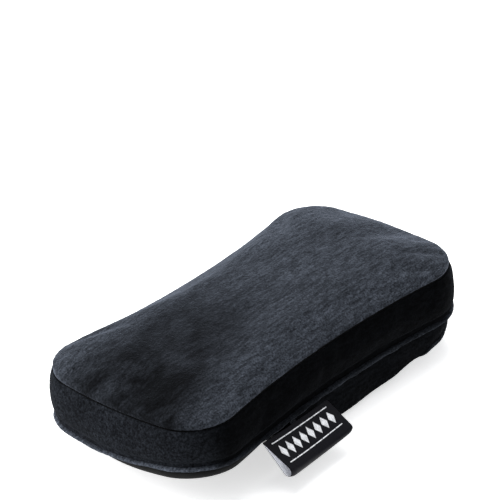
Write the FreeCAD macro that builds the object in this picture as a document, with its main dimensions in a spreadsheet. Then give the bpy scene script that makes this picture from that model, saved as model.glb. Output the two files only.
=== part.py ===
import FreeCAD, Part
import math
import os
import Sketcher

# Chair armrest pad: a memory-foam block in a zipped plush cover, with a plush wrap under it
# that closes round the armrest with hook and loop. Millimetres, +Z up, +X along the pad.
# The origin is on the underside of the outer flap, below the pad's middle.

DIMENSIONS = {
    # plan outline: eight tangent arcs, the same on all four quarters
    "half_length": 125.0,
    "waist_half_width": 57.5,
    "end_arc": 285.0,
    "corner_arc": 30.0,
    "waist_arc": 640.0,
    # heights
    "panel_bottom": 24.5,
    "panel_thickness": 1.6,
    "welt_height": 2.2,
    "band_height": 28.2,
    "top_seam_height": 0.8,
    "crown_height": 10.5,
    "crown_round": 10.0,
    # cloth and gaps
    "cloth": 1.6,
    "welt_stand_out": 0.8,
    "skin_gap": 0.3,
    "seam_inset": 0.3,
    "core_inset": 2.6,
    # zipper on the back long side
    "zipper_height": 41.0,
    "rear_half_length": 84.0,
    "tape_half_length": 80.0,
    "tape_width": 10.0,
    "tape_thickness": 0.6,
    "tape_clearance": 0.1,
    "chain_gap": 1.2,
    "tooth_length": 1.8,
    "tooth_depth": 1.6,
    "tooth_width": 0.9,
    "tooth_angle_step": 0.134,
    "tooth_count": 102,
    "cord_width": 0.9,
    "rear_slot": 7.0,
    "recess_depth": 1.6,
    "recess_height": 11.0,
    "slider_angle": -6.2,
    "slider_length": 9.0,
    "slider_height": 7.6,
    "plate": 1.0,
    "slider_round": 2.2,
    "slider_gap": 0.3,
    "small_round": 0.3,
    "bridge_length": 3.0,
    "bridge_height": 0.7,
    "arch_width": 1.6,
    "arch_window": 2.0,
    "arch_bar": 0.8,
    "arch_half_span": 3.0,
    "arch_round": 0.9,
    "arch_window_round": 0.5,
    "pull_length": 22.0,
    "pull_width": 5.6,
    "pull_thickness": 1.2,
    "pull_round": 1.2,
    "pull_window": 3.8,
    "pull_window_width": 2.2,
    "pull_window_round": 0.4,
    "pull_hole": 1.5,
    "pull_hole_inset": 6.0,
    "stop_length": 1.4,
    # wrap under the pad
    "wrap_near_end": 36.0,
    "wrap_far_end": 112.0,
    "wrap_fold_end": 45.0,
    "wall_inset": 2.0,
    "wall": 1.8,
    "flap": 2.0,
    "flap_far_end": 76.0,
    "flap_round": 12.0,
    "outer_root": 54.0,
    "outer_tip": 45.0,
    "inner_root": 54.0,
    "inner_tip": 5.0,
    "front_fold_rise": 0.4,
    "back_fold_rise": 1.6,
    "binding_width": 5.0,
    "patch": 1.0,
    "patch_gap": 0.8,
    "patch_length": 84.0,
    "patch_width": 30.0,
    "patch_round": 3.0,
    "stitch_round": 2.0,
    "stitch_inset": 1.6,
    "stitch_width": 0.6,
    "stitch_height": 0.2,
    # label caught in the bottom seam
    "label_middle": 41.0,
    "label_width": 56.0,
    "label_reach": 24.0,
    "label_nose": 2.4,
    "label_cloth": 0.5,
    "label_stand_off": 62.7,
    "label_droop": 36.0,
}

document = FreeCAD.newDocument("armrest_pad")
sheet = document.addObject("Spreadsheet::Sheet", "dims")
for row, (alias, size) in enumerate(DIMENSIONS.items(), start=1):
    sheet.set("A%d" % row, alias)
    sheet.set("B%d" % row, str(size))
    sheet.setAlias("B%d" % row, alias)
probe = document.addObject("App::FeaturePython", "probe")
probe.addProperty("App::PropertyFloat", "result")
document.recompute()

# Heights and radii that several pieces share, written as expressions of the sheet.
PANEL_TOP = "(dims.panel_bottom + dims.panel_thickness)"
WELT_TOP = "(dims.panel_bottom + dims.welt_height)"
BAND_TOP = "(dims.panel_bottom + dims.welt_height + dims.band_height)"
SEAM_TOP = "(dims.panel_bottom + dims.welt_height + dims.band_height + dims.top_seam_height)"
ARC_CENTRE = "(dims.waist_half_width + dims.waist_arc)"
TAPE_OUTER = "(dims.waist_arc + dims.cloth + dims.tape_clearance)"
PATCH_BASE = "dims.flap"
LOOP_BASE = "(dims.flap + dims.patch + dims.patch_gap)"
INNER_BASE = "(dims.flap + 2 * dims.patch + dims.patch_gap)"

parts = []


def number(expression):
    """Value of an expression of the sheet, for a sketch's starting shape."""
    probe.setExpression("result", expression)
    probe.recompute()
    return probe.result


def keep(piece, label):
    """Give a finished sub-part its name and put it on the list to write."""
    piece.Label = label
    parts.append(piece)
    return piece


def make_body(name, place=None):
    """A body; place gives expressions for the three parts of its position."""
    body = document.addObject("PartDesign::Body", name)
    if place:
        for axis, expression in zip("xyz", place):
            body.setExpression("Placement.Base." + axis, expression)
    return body


def make_sketch(body, name, plane="XY_Plane", offset=("0", "0", "0")):
    """A sketch on one of the body's own origin planes, shifted by three expressions."""
    sketch = body.newObject("Sketcher::SketchObject", name)
    origin_plane = [item for item in body.Origin.OriginFeatures if item.Role == plane][0]
    sketch.AttachmentSupport = [(origin_plane, "")]
    sketch.MapMode = "FlatFace"
    for axis, expression in zip("xyz", offset):
        sketch.setExpression("AttachmentOffset.Base." + axis, expression)
    return sketch


def constrain(sketch, kind, *arguments, size=None):
    """Add a constraint; size is an expression that drives its value."""
    if size:
        arguments = arguments + (number(size),)
    index = sketch.addConstraint(Sketcher.Constraint(kind, *arguments))
    if size:
        sketch.setExpression("Constraints[%d]" % index, size)
    return index


def arc(centre, radius, start, end):
    circle = Part.Circle(FreeCAD.Vector(centre[0], centre[1], 0), FreeCAD.Vector(0, 0, 1), radius)
    return Part.ArcOfCircle(circle, start, end)


def corner_centre():
    """Centre of the corner arc, which touches the end arc inside and the waist arc outside."""
    end_x = number("dims.half_length - dims.end_arc")
    waist_y = number(ARC_CENTRE)
    to_end = number("dims.end_arc - dims.corner_arc")
    to_waist = number("dims.waist_arc + dims.corner_arc")
    apart = math.hypot(end_x, waist_y)
    along = (to_end ** 2 - to_waist ** 2 + apart ** 2) / (2 * apart)
    aside = math.sqrt(to_end ** 2 - along ** 2)
    unit = (-end_x / apart, waist_y / apart)
    return end_x + along * unit[0] + aside * unit[1], along * unit[1] - aside * unit[0]


def add_outline(sketch, inset):
    """The pad's plan outline, moved inwards by the expression inset: eight tangent arcs."""
    shift = number(inset)
    end_x = number("dims.half_length - dims.end_arc")
    waist_y = number(ARC_CENTRE)
    end_radius = number("dims.end_arc") - shift
    corner_radius = number("dims.corner_arc") - shift
    waist_radius = number("dims.waist_arc") + shift
    corner_x, corner_y = corner_centre()
    end_angle = math.atan2(corner_y, corner_x - end_x)
    lean = math.atan2(corner_x, waist_y - corner_y)
    turn = math.pi
    quarter = math.pi / 2
    east, north_east, north, north_west, west, south_west, south, south_east = sketch.addGeometry([
        arc((end_x, 0), end_radius, -end_angle, end_angle),
        arc((corner_x, corner_y), corner_radius, end_angle, quarter + lean),
        arc((0, waist_y), waist_radius, 3 * quarter - lean, 3 * quarter + lean),
        arc((-corner_x, corner_y), corner_radius, quarter - lean, turn - end_angle),
        arc((-end_x, 0), end_radius, turn - end_angle, turn + end_angle),
        arc((-corner_x, -corner_y), corner_radius, turn + end_angle, 3 * quarter + lean),
        arc((0, -waist_y), waist_radius, quarter - lean, quarter + lean),
        arc((corner_x, -corner_y), corner_radius, 3 * quarter - lean, 2 * turn - end_angle),
    ], False)
    joints = (
        (east, 2, north_east, 1), (north_east, 2, north, 2), (north, 1, north_west, 1),
        (north_west, 2, west, 1), (west, 2, south_west, 1), (south_west, 2, south, 2),
        (south, 1, south_east, 1), (south_east, 2, east, 1),
    )
    for joint in joints:
        constrain(sketch, "Tangent", *joint)
    for end in (east, west):
        constrain(sketch, "PointOnObject", end, 3, -1)
        constrain(sketch, "Radius", end, size="dims.end_arc - (%s)" % inset)
    constrain(sketch, "DistanceX", east, 3, -1, 1, size="dims.end_arc - dims.half_length")
    constrain(sketch, "DistanceX", -1, 1, west, 3, size="dims.end_arc - dims.half_length")
    for waist in (north, south):
        constrain(sketch, "PointOnObject", waist, 3, -2)
        constrain(sketch, "Radius", waist, size="dims.waist_arc + (%s)" % inset)
    constrain(sketch, "DistanceY", -1, 1, north, 3, size=ARC_CENTRE)
    constrain(sketch, "DistanceY", south, 3, -1, 1, size=ARC_CENTRE)
    for corner in (north_east, north_west, south_west, south_east):
        constrain(sketch, "Radius", corner, size="dims.corner_arc - (%s)" % inset)


def add_rounded_rectangle(sketch, width, height, radius):
    """A rounded rectangle about the sketch's origin, from three expressions."""
    half_x = number(width) / 2
    half_y = number(height) / 2
    corner = number(radius)
    inner_x = half_x - corner
    inner_y = half_y - corner
    quarter = math.pi / 2
    point = FreeCAD.Vector
    ids = sketch.addGeometry([
        Part.LineSegment(point(-inner_x, -half_y, 0), point(inner_x, -half_y, 0)),
        arc((inner_x, -inner_y), corner, 3 * quarter, 4 * quarter),
        Part.LineSegment(point(half_x, -inner_y, 0), point(half_x, inner_y, 0)),
        arc((inner_x, inner_y), corner, 0, quarter),
        Part.LineSegment(point(inner_x, half_y, 0), point(-inner_x, half_y, 0)),
        arc((-inner_x, inner_y), corner, quarter, 2 * quarter),
        Part.LineSegment(point(-half_x, inner_y, 0), point(-half_x, -inner_y, 0)),
        arc((-inner_x, -inner_y), corner, 2 * quarter, 3 * quarter),
    ], False)
    for side in range(8):
        constrain(sketch, "Tangent", ids[side], 2, ids[(side + 1) % 8], 1)
    for line in (ids[0], ids[4]):
        constrain(sketch, "Horizontal", line)
    for line in (ids[2], ids[6]):
        constrain(sketch, "Vertical", line)
    for corner_id in ids[1::2]:
        constrain(sketch, "Radius", corner_id, size=radius)
    constrain(sketch, "DistanceX", ids[6], 1, ids[2], 1, size=width)
    constrain(sketch, "DistanceY", ids[0], 1, ids[4], 1, size=height)
    constrain(sketch, "Symmetric", ids[0], 1, ids[4], 1, -1, 1)


def add_waist_strip(sketch, near_radius, far_radius, half_length):
    """A strip between two arcs about the sketch's origin, below it, with square ends."""
    small = number(near_radius)
    large = number(far_radius)
    half = number(half_length)
    down = 3 * math.pi / 2
    point = FreeCAD.Vector
    small_lean = math.asin(half / small)
    large_lean = math.asin(half / large)
    small_drop = math.sqrt(small ** 2 - half ** 2)
    large_drop = math.sqrt(large ** 2 - half ** 2)
    inner, outer, left, right = sketch.addGeometry([
        arc((0, 0), small, down - small_lean, down + small_lean),
        arc((0, 0), large, down - large_lean, down + large_lean),
        Part.LineSegment(point(-half, -small_drop, 0), point(-half, -large_drop, 0)),
        Part.LineSegment(point(half, -large_drop, 0), point(half, -small_drop, 0)),
    ], False)
    for joint in ((inner, 1, left, 1), (left, 2, outer, 1), (outer, 2, right, 1), (right, 2, inner, 2)):
        constrain(sketch, "Coincident", *joint)
    for curve in (inner, outer):
        constrain(sketch, "Coincident", curve, 3, -1, 1)
    for line in (left, right):
        constrain(sketch, "Vertical", line)
    constrain(sketch, "Radius", inner, size=near_radius)
    constrain(sketch, "Radius", outer, size=far_radius)
    constrain(sketch, "DistanceX", left, 1, -1, 1, size=half_length)
    constrain(sketch, "DistanceX", -1, 1, right, 2, size=half_length)


def pad(body, sketch, length, middle=False):
    feature = body.newObject("PartDesign::Pad", sketch.Name + "_pad")
    feature.Profile = sketch
    feature.Midplane = middle
    feature.setExpression("Length", length)
    document.recompute()
    return feature


def pocket(body, sketch, depth, upwards=True):
    """Cut along the sketch's normal and make sure that something was removed."""
    before = body.Shape.Volume
    feature = body.newObject("PartDesign::Pocket", sketch.Name + "_pocket")
    feature.Profile = sketch
    feature.Reversed = upwards
    feature.setExpression("Length", depth)
    document.recompute()
    if body.Shape.Volume > before - 0.01:
        raise RuntimeError(feature.Name + " cut nothing")
    return feature


def round_top(body, radius):
    """Round every edge of the body's topmost face."""
    base = body.Tip
    faces = base.Shape.Faces
    top = max(range(len(faces)), key=lambda index: faces[index].CenterOfMass.z)
    feature = body.newObject("PartDesign::Fillet", body.Name + "_round")
    feature.Base = (base, ["Face%d" % (top + 1)])
    feature.setExpression("Radius", radius)
    document.recompute()
    return feature


def outline_plate(name, inset, base, height):
    """A plate of the pad's outline."""
    body = make_body(name)
    sketch = make_sketch(body, name + "_plan", offset=("0", "0", base))
    add_outline(sketch, inset)
    pad(body, sketch, height)
    return body


def outline_ring(name, outer_inset, inner_inset, base, height):
    """A ring between two insets of the pad's outline."""
    body = make_body(name)
    sketch = make_sketch(body, name + "_plan", offset=("0", "0", base))
    add_outline(sketch, outer_inset)
    add_outline(sketch, inner_inset)
    pad(body, sketch, height)
    return body


def dome(name, inset, base, height, radius):
    """A plate of the pad's outline with a rounded top edge."""
    body = outline_plate(name, inset, base, height)
    round_top(body, radius)
    return body


def waist_strip(name, near_radius, far_radius, half_length, base, height):
    """A strip that follows the back long side's waist arc, about that arc's own centre."""
    body = make_body(name, ("0", ARC_CENTRE, "0"))
    sketch = make_sketch(body, name + "_plan", offset=("0", "0", base))
    add_waist_strip(sketch, near_radius, far_radius, half_length)
    pad(body, sketch, height)
    return body


def plate(name, centre, size, radius, thickness, hole=None):
    """A rounded plate, or with hole a rounded frame that many millimetres wide."""
    body = make_body(name)
    sketch = make_sketch(body, name + "_plan", offset=centre)
    add_rounded_rectangle(sketch, size[0], size[1], radius)
    if hole:
        inner = ["%s - 2 * (%s)" % (side, hole) for side in size]
        add_rounded_rectangle(sketch, inner[0], inner[1], "%s - (%s)" % (radius, hole))
    pad(body, sketch, thickness)
    return body


def combine(kind, name, base, tool):
    result = document.addObject(kind, name)
    result.Base = base
    result.Tool = tool
    document.recompute()
    return result


# ---- foam ----

def make_foam_core():
    """One memory-foam block, relieved behind the zipper so that the slider can pass."""
    base = PANEL_TOP + " + dims.skin_gap"
    top_clearance = "dims.cloth + dims.skin_gap"
    height = "%s + dims.crown_height - (%s) - (%s)" % (SEAM_TOP, top_clearance, base)
    core = dome("foam_core", "dims.core_inset", base, height, "dims.crown_round - dims.cloth")
    recess = make_sketch(core, "zipper_recess", offset=(
        "0", ARC_CENTRE, "dims.zipper_height - dims.recess_height / 2"))
    near = "dims.waist_arc"
    far = "dims.waist_arc + dims.core_inset + dims.recess_depth"
    add_waist_strip(recess, near, far, "dims.tape_half_length")
    pocket(core, recess, "dims.recess_height")
    keep(core, "foam_core")


# ---- cover ----

def make_top_panel():
    outer = dome("top_panel_outside", "0", SEAM_TOP, "dims.crown_height", "dims.crown_round")
    inner = dome("top_panel_inside", "dims.cloth", SEAM_TOP, "dims.crown_height - dims.cloth",
                 "dims.crown_round - dims.cloth")
    keep(combine("Part::Cut", "top_panel", outer, inner), "top_panel")


def make_side_band():
    """The boxing strip, open at the back where the zipped strips take its place."""
    band = outline_ring("side_band", "0", "dims.cloth", WELT_TOP, "dims.band_height")
    gap = make_sketch(band, "rear_gap", offset=("0", ARC_CENTRE, WELT_TOP))
    add_waist_strip(gap, "dims.waist_arc - dims.cloth", "dims.waist_arc + 2 * dims.cloth", "dims.rear_half_length")
    pocket(band, gap, "dims.band_height")
    keep(band, "side_band")


def make_rear_band():
    """Two strips of the cover, above and below the zipper's chain."""
    near = "dims.waist_arc"
    far = "dims.waist_arc + dims.cloth"
    half = "dims.rear_half_length"
    slot_top = "(dims.zipper_height + dims.rear_slot / 2)"
    slot_bottom = "(dims.zipper_height - dims.rear_slot / 2)"
    upper = waist_strip("rear_band_upper", near, far, half, slot_top, BAND_TOP + " - " + slot_top)
    keep(upper, "rear_band_upper")
    lower = waist_strip("rear_band_lower", near, far, half, WELT_TOP, slot_bottom + " - " + WELT_TOP)
    keep(lower, "rear_band_lower")


def make_bottom_and_seams():
    bottom = outline_plate("bottom_panel", "dims.cloth", "dims.panel_bottom", "dims.panel_thickness")
    keep(bottom, "bottom_panel")
    welt = outline_ring("bottom_seam_welt", "-dims.welt_stand_out", "dims.cloth",
                        "dims.panel_bottom", "dims.welt_height")
    keep(welt, "bottom_seam_welt")
    seam = outline_ring("top_seam", "dims.seam_inset", "dims.cloth", BAND_TOP, "dims.top_seam_height")
    keep(seam, "top_seam")


# ---- zipper ----

def make_zipper_row(name, side):
    """One tape with its row of teeth; side is +1 above the chain's middle and -1 below."""
    near = TAPE_OUTER
    far = TAPE_OUTER + " + dims.tape_thickness"
    tape_base = "dims.zipper_height + dims.chain_gap / 2"
    if side < 0:
        tape_base = "dims.zipper_height - dims.chain_gap / 2 - dims.tape_width"
    tape = waist_strip("zipper_tape_" + name, near, far, "dims.tape_half_length", tape_base,
                       "dims.tape_width")
    keep(tape, "zipper_tape_" + name)

    tooth_base = "dims.zipper_height + dims.chain_gap / 2"
    cord_base = "dims.zipper_height + dims.chain_gap / 2 + dims.tooth_length - dims.cord_width"
    if side < 0:
        tooth_base = "dims.zipper_height - dims.chain_gap / 2 - dims.tooth_length"
        cord_base = tooth_base
    half_angle = DIMENSIONS["tooth_angle_step"] * (DIMENSIONS["tooth_count"] - 1) / 2
    cord_half = "%s * sin(dims.tooth_angle_step * (dims.tooth_count - 1) / 2)" % TAPE_OUTER
    teeth = waist_strip("zipper_teeth_" + name, TAPE_OUTER + " - dims.tooth_depth / 2", TAPE_OUTER,
                        cord_half, cord_base, "dims.cord_width")
    tooth = make_sketch(teeth, "tooth_" + name)
    tooth.AttachmentOffset = FreeCAD.Placement(
        FreeCAD.Vector(0, 0, 0), FreeCAD.Rotation(FreeCAD.Vector(0, 0, 1), -half_angle))
    tooth.setExpression("AttachmentOffset.Base.z", tooth_base)
    add_waist_strip(tooth, TAPE_OUTER + " - dims.tooth_depth", TAPE_OUTER, "dims.tooth_width / 2")
    tooth_pad = pad(teeth, tooth, "dims.tooth_length")
    row = teeth.newObject("PartDesign::PolarPattern", "row_" + name)
    row.Originals = [tooth_pad]
    axis = [item for item in teeth.Origin.OriginFeatures if item.Role == "Z_Axis"][0]
    row.Axis = (axis, [""])
    row.setExpression("Angle", "dims.tooth_angle_step * (dims.tooth_count - 1)")
    row.setExpression("Occurrences", "dims.tooth_count")
    teeth.Tip = row
    document.recompute()
    keep(teeth, "zipper_teeth_" + name)


def turned_about_arc(piece, angle):
    """Move a piece drawn at the waist's middle along the back waist arc."""
    piece.Placement = FreeCAD.Placement(
        FreeCAD.Vector(0, number(ARC_CENTRE), 0),
        FreeCAD.Rotation(FreeCAD.Vector(0, 0, 1), angle))


def make_zipper_stops():
    """A crimped stop on each row at the closed end and one across both rows at the open end."""
    half_angle = DIMENSIONS["tooth_angle_step"] * (DIMENSIONS["tooth_count"] - 1) / 2
    stop_turn = math.degrees((DIMENSIONS["tooth_width"] + DIMENSIONS["stop_length"])
                             / DIMENSIONS["waist_arc"])
    for name, closed_end in (("zipper_top_stops", True), ("zipper_bottom_stop", False)):
        body = make_body(name)
        middle = TAPE_OUTER + " - dims.tooth_depth / 2"
        size = ("dims.stop_length", "dims.tooth_depth")
        if closed_end:
            heights = ("dims.zipper_height - dims.chain_gap / 2 - dims.tooth_length",
                       "dims.zipper_height + dims.chain_gap / 2")
            tall = "dims.tooth_length"
        else:
            heights = ("dims.zipper_height - dims.chain_gap / 2 - dims.tooth_length",)
            tall = "dims.chain_gap + 2 * dims.tooth_length"
        for index, base in enumerate(heights):
            sketch = make_sketch(body, "%s_%d" % (name, index), offset=("0", "-(%s)" % middle, base))
            add_rounded_rectangle(sketch, size[0], size[1], "dims.small_round")
            pad(body, sketch, tall)
        sign = -1 if closed_end else 1
        turned_about_arc(body, sign * (half_angle + stop_turn))
        document.recompute()
        keep(body, name)


FRONT_FACE = "(%s - dims.tooth_depth - dims.slider_gap)" % TAPE_OUTER
BACK_FACE = "(%s + dims.tape_thickness + dims.slider_gap)" % TAPE_OUTER
PULL_AXIS = "(%s - dims.plate - dims.arch_window / 2)" % FRONT_FACE


def make_slider():
    """Front and back plates joined through the chain's gap, with an arch for the pull."""
    body = make_body("zipper_slider")
    plates = (("front", FRONT_FACE + " - dims.plate"), ("back", BACK_FACE))
    for name, near in plates:
        sketch = make_sketch(body, "slider_" + name, plane="XZ_Plane",
                             offset=("0", "dims.zipper_height", near))
        add_rounded_rectangle(sketch, "dims.slider_length", "dims.slider_height", "dims.slider_round")
        pad(body, sketch, "dims.plate")
    bridge = make_sketch(body, "slider_bridge", plane="XZ_Plane",
                         offset=("0", "dims.zipper_height", FRONT_FACE))
    add_rounded_rectangle(bridge, "dims.bridge_length", "dims.bridge_height", "dims.small_round")
    pad(body, bridge, "%s - %s" % (BACK_FACE, FRONT_FACE))
    arch_depth = "dims.arch_window + dims.arch_bar"
    arch = make_sketch(body, "slider_arch", offset=(
        "0", "-(%s - dims.plate - (%s) / 2)" % (FRONT_FACE, arch_depth),
        "dims.zipper_height - dims.arch_width / 2"))
    add_rounded_rectangle(arch, "2 * dims.arch_half_span", arch_depth, "dims.arch_round")
    pad(body, arch, "dims.arch_width")
    window = make_sketch(body, "arch_window", offset=(
        "0", "-(%s)" % PULL_AXIS, "dims.zipper_height - dims.arch_width / 2"))
    add_rounded_rectangle(window, "2 * dims.arch_half_span - 2 * dims.arch_bar",
                          "dims.arch_window", "dims.arch_window_round")
    pocket(body, window, "dims.arch_width")
    turned_about_arc(body, DIMENSIONS["slider_angle"])
    document.recompute()
    keep(body, "zipper_slider")


def make_pull():
    """A flat tab whose end bar turns in the slider's arch; it lies back along the chain."""
    body = make_body("zipper_pull")
    bar = "dims.pull_thickness / 2"
    face = "%s - dims.pull_thickness / 2" % PULL_AXIS
    tab = make_sketch(body, "pull_tab", plane="XZ_Plane", offset=(
        "dims.pull_length / 2 - " + bar, "dims.zipper_height", face))
    add_rounded_rectangle(tab, "dims.pull_length", "dims.pull_width", "dims.pull_round")
    pad(body, tab, "dims.pull_thickness")
    window = make_sketch(body, "pull_window", plane="XZ_Plane", offset=(
        bar + " + dims.pull_window / 2", "dims.zipper_height", face))
    add_rounded_rectangle(window, "dims.pull_window", "dims.pull_window_width", "dims.pull_window_round")
    pocket(body, window, "dims.pull_thickness")
    hole = make_sketch(body, "pull_hole", plane="XZ_Plane", offset=(
        "dims.pull_length - dims.pull_hole_inset", "dims.zipper_height", face))
    circle = hole.addGeometry(Part.Circle(
        FreeCAD.Vector(0, 0, 0), FreeCAD.Vector(0, 0, 1), number("dims.pull_hole")), False)
    constrain(hole, "Coincident", circle, 3, -1, 1)
    constrain(hole, "Radius", circle, size="dims.pull_hole")
    pocket(body, hole, "dims.pull_thickness")
    turned_about_arc(body, DIMENSIONS["slider_angle"])
    document.recompute()
    keep(body, "zipper_pull")


# ---- wrap ----

def wall_profile(name, front, fold_height):
    """A slab with the wall's side view: square at the near end, swept up at the far end."""
    body = make_body(name)
    sketch = make_sketch(body, name + "_side", plane="XZ_Plane")
    point = FreeCAD.Vector
    near = -number("dims.wrap_near_end")
    fold_end = number("dims.wrap_fold_end")
    far = number("dims.wrap_far_end")
    low = number(fold_height)
    high = number("dims.panel_bottom")
    rise = high - low
    run = far - fold_end
    radius = (run ** 2 + rise ** 2) / (2 * rise)
    sweep = math.asin(run / radius)
    down = 3 * math.pi / 2
    floor, curve, roof, end = sketch.addGeometry([
        Part.LineSegment(point(near, low, 0), point(fold_end, low, 0)),
        arc((fold_end, low + radius), radius, down, down + sweep),
        Part.LineSegment(point(far, high, 0), point(near, high, 0)),
        Part.LineSegment(point(near, high, 0), point(near, low, 0)),
    ], False)
    constrain(sketch, "Tangent", floor, 2, curve, 1)
    constrain(sketch, "Coincident", curve, 2, roof, 1)
    constrain(sketch, "Coincident", roof, 2, end, 1)
    constrain(sketch, "Coincident", end, 2, floor, 1)
    constrain(sketch, "Horizontal", floor)
    constrain(sketch, "Horizontal", roof)
    constrain(sketch, "Vertical", end)
    constrain(sketch, "DistanceX", floor, 1, -1, 1, size="dims.wrap_near_end")
    constrain(sketch, "DistanceX", -1, 1, floor, 2, size="dims.wrap_fold_end")
    constrain(sketch, "DistanceX", -1, 1, roof, 1, size="dims.wrap_far_end")
    constrain(sketch, "DistanceY", -1, 1, floor, 1, size=fold_height)
    constrain(sketch, "DistanceY", -1, 1, roof, 1, size="dims.panel_bottom")
    slab = pad(body, sketch, "dims.half_length")
    slab.Reversed = not front
    document.recompute()
    return body


def make_wrap_walls():
    """The two side walls of the wrap, which hang from the bottom seam."""
    sides = (("wrap_wall_front", True, INNER_BASE + " + dims.flap + dims.front_fold_rise"),
             ("wrap_wall_back", False, "dims.flap + dims.back_fold_rise"))
    for name, front, fold_height in sides:
        ring = outline_ring(name + "_ring", "dims.wall_inset", "dims.wall_inset + dims.wall",
                            fold_height, "dims.panel_bottom - (%s)" % fold_height)
        profile = wall_profile(name + "_profile", front, fold_height)
        keep(combine("Part::Common", name, ring, profile), name)


def make_flap(name, root, tip, base):
    """A flap and the binding round its three free edges; root and tip are where it starts
    and ends across the pad, as expressions, with the sign of the side they are on."""
    low_y, high_y = sorted((root, tip), key=number)
    length = "(dims.wrap_near_end + dims.flap_far_end)"
    middle_x = "(dims.flap_far_end - dims.wrap_near_end) / 2"
    across = "(%s - (%s))" % (high_y, low_y)
    middle_y = "((%s) + (%s)) / 2" % (low_y, high_y)
    towards_root = "dims.binding_width" if number(root) > number(tip) else "-dims.binding_width"
    whole = plate(name + "_whole", (middle_x, middle_y, base), (length, across),
                  "dims.flap_round", "dims.flap")
    inside = plate(name + "_inside", (middle_x, "%s + %s" % (middle_y, towards_root), base),
                   ("%s - 2 * dims.binding_width" % length, across), "dims.flap_round", "dims.flap")
    keep(combine("Part::Common", name, whole, inside), name)
    keep(combine("Part::Cut", name + "_binding", whole, inside), name + "_binding")


def make_closure():
    """Hook patch on the outer flap, loop patch on the inner flap, and their stitching."""
    middle_x = "(dims.flap_far_end - dims.wrap_near_end) / 2"
    middle_y = "-(dims.inner_tip + dims.binding_width + dims.patch_width / 2)"
    size = ("dims.patch_length", "dims.patch_width")
    hook = plate("hook_patch", (middle_x, middle_y, PATCH_BASE), size, "dims.patch_round", "dims.patch")
    keep(hook, "hook_patch")
    loop = plate("loop_patch", (middle_x, middle_y, LOOP_BASE), size, "dims.patch_round", "dims.patch")
    keep(loop, "loop_patch")
    stitched = tuple("(%s - 2 * dims.stitch_inset)" % side for side in size)
    rows = (("hook_patch_stitching", PATCH_BASE + " + dims.patch"),
            ("loop_patch_stitching", LOOP_BASE + " - dims.stitch_height"))
    for name, base in rows:
        row = plate(name, (middle_x, middle_y, base), stitched, "dims.stitch_round",
                    "dims.stitch_height", hole="dims.stitch_width")
        keep(row, name)


# ---- label ----

def make_label():
    """A ribbon folded into a loop: two flat layers that part towards a round fold."""
    body = make_body("label")
    sketch = make_sketch(body, "label_side", plane="YZ_Plane")
    point = FreeCAD.Vector
    reach = number("dims.label_reach")
    lines = {}
    for name, shift in (("outer", 0.0), ("inner", number("dims.label_cloth"))):
        nose = number("dims.label_nose") - shift
        spread = math.asin(number("dims.label_nose") / reach)
        tip = -shift / math.sin(spread)
        touch_y = -reach + nose * math.sin(spread)
        touch_z = nose * math.cos(spread)
        lines[name] = sketch.addGeometry([
            Part.LineSegment(point(tip, 0, 0), point(touch_y, touch_z, 0)),
            arc((-reach, 0), nose, math.pi / 2 - spread, 3 * math.pi / 2 + spread),
            Part.LineSegment(point(touch_y, -touch_z, 0), point(tip, 0, 0)),
        ], False)
        upper, fold, lower = lines[name]
        constrain(sketch, "Coincident", upper, 1, lower, 2)
        constrain(sketch, "Tangent", upper, 2, fold, 1)
        constrain(sketch, "Tangent", fold, 2, lower, 1)
        constrain(sketch, "PointOnObject", fold, 3, -1)
        constrain(sketch, "DistanceX", fold, 3, -1, 1, size="dims.label_reach")
    constrain(sketch, "Coincident", lines["outer"][0], 1, -1, 1)
    constrain(sketch, "PointOnObject", lines["inner"][0], 1, -1)
    constrain(sketch, "Parallel", lines["outer"][0], lines["inner"][0])
    constrain(sketch, "Radius", lines["outer"][1], size="dims.label_nose")
    constrain(sketch, "Radius", lines["inner"][1], size="dims.label_nose - dims.label_cloth")
    pad(body, sketch, "dims.label_width", middle=True)
    body.Placement = FreeCAD.Placement(
        FreeCAD.Vector(-number("dims.label_middle"), -number("dims.label_stand_off"), number(PANEL_TOP)),
        FreeCAD.Rotation(FreeCAD.Vector(1, 0, 0), number("dims.label_droop")))
    document.recompute()
    keep(body, "label")


def check(piece):
    """Stop at a failed feature or a bad shape."""
    if piece.Shape.isNull() or not piece.Shape.isValid() or not piece.Shape.Solids:
        raise RuntimeError(piece.Label + " has no valid solid")


make_foam_core()
make_top_panel()
make_side_band()
make_rear_band()
make_bottom_and_seams()
make_zipper_row("upper", 1)
make_zipper_row("lower", -1)
make_zipper_stops()
make_slider()
make_pull()
make_wrap_walls()
make_flap("outer_flap", "dims.outer_root", "-dims.outer_tip", "0")
make_flap("inner_flap", "-dims.inner_root", "-dims.inner_tip", INNER_BASE)
make_closure()
make_label()

document.recompute()
for item in document.Objects:
    if "Invalid" in item.State or "Error" in item.State:
        raise RuntimeError(item.Name + " failed")
for piece in parts:
    check(piece)

os.makedirs("parts", exist_ok=True)
for piece in parts:
    piece.Shape.exportStep(os.path.join("parts", piece.Label + ".step"))
    box = piece.Shape.BoundBox
    print("%-22s %d solid(s) %9.1f mm3  x %.1f..%.1f  y %.1f..%.1f  z %.1f..%.1f" % (
        piece.Label, len(piece.Shape.Solids), piece.Shape.Volume,
        box.XMin, box.XMax, box.YMin, box.YMax, box.ZMin, box.ZMax))
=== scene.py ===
import math

import bmesh
import bpy
import numpy as np
from mathutils import Matrix, Vector


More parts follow.
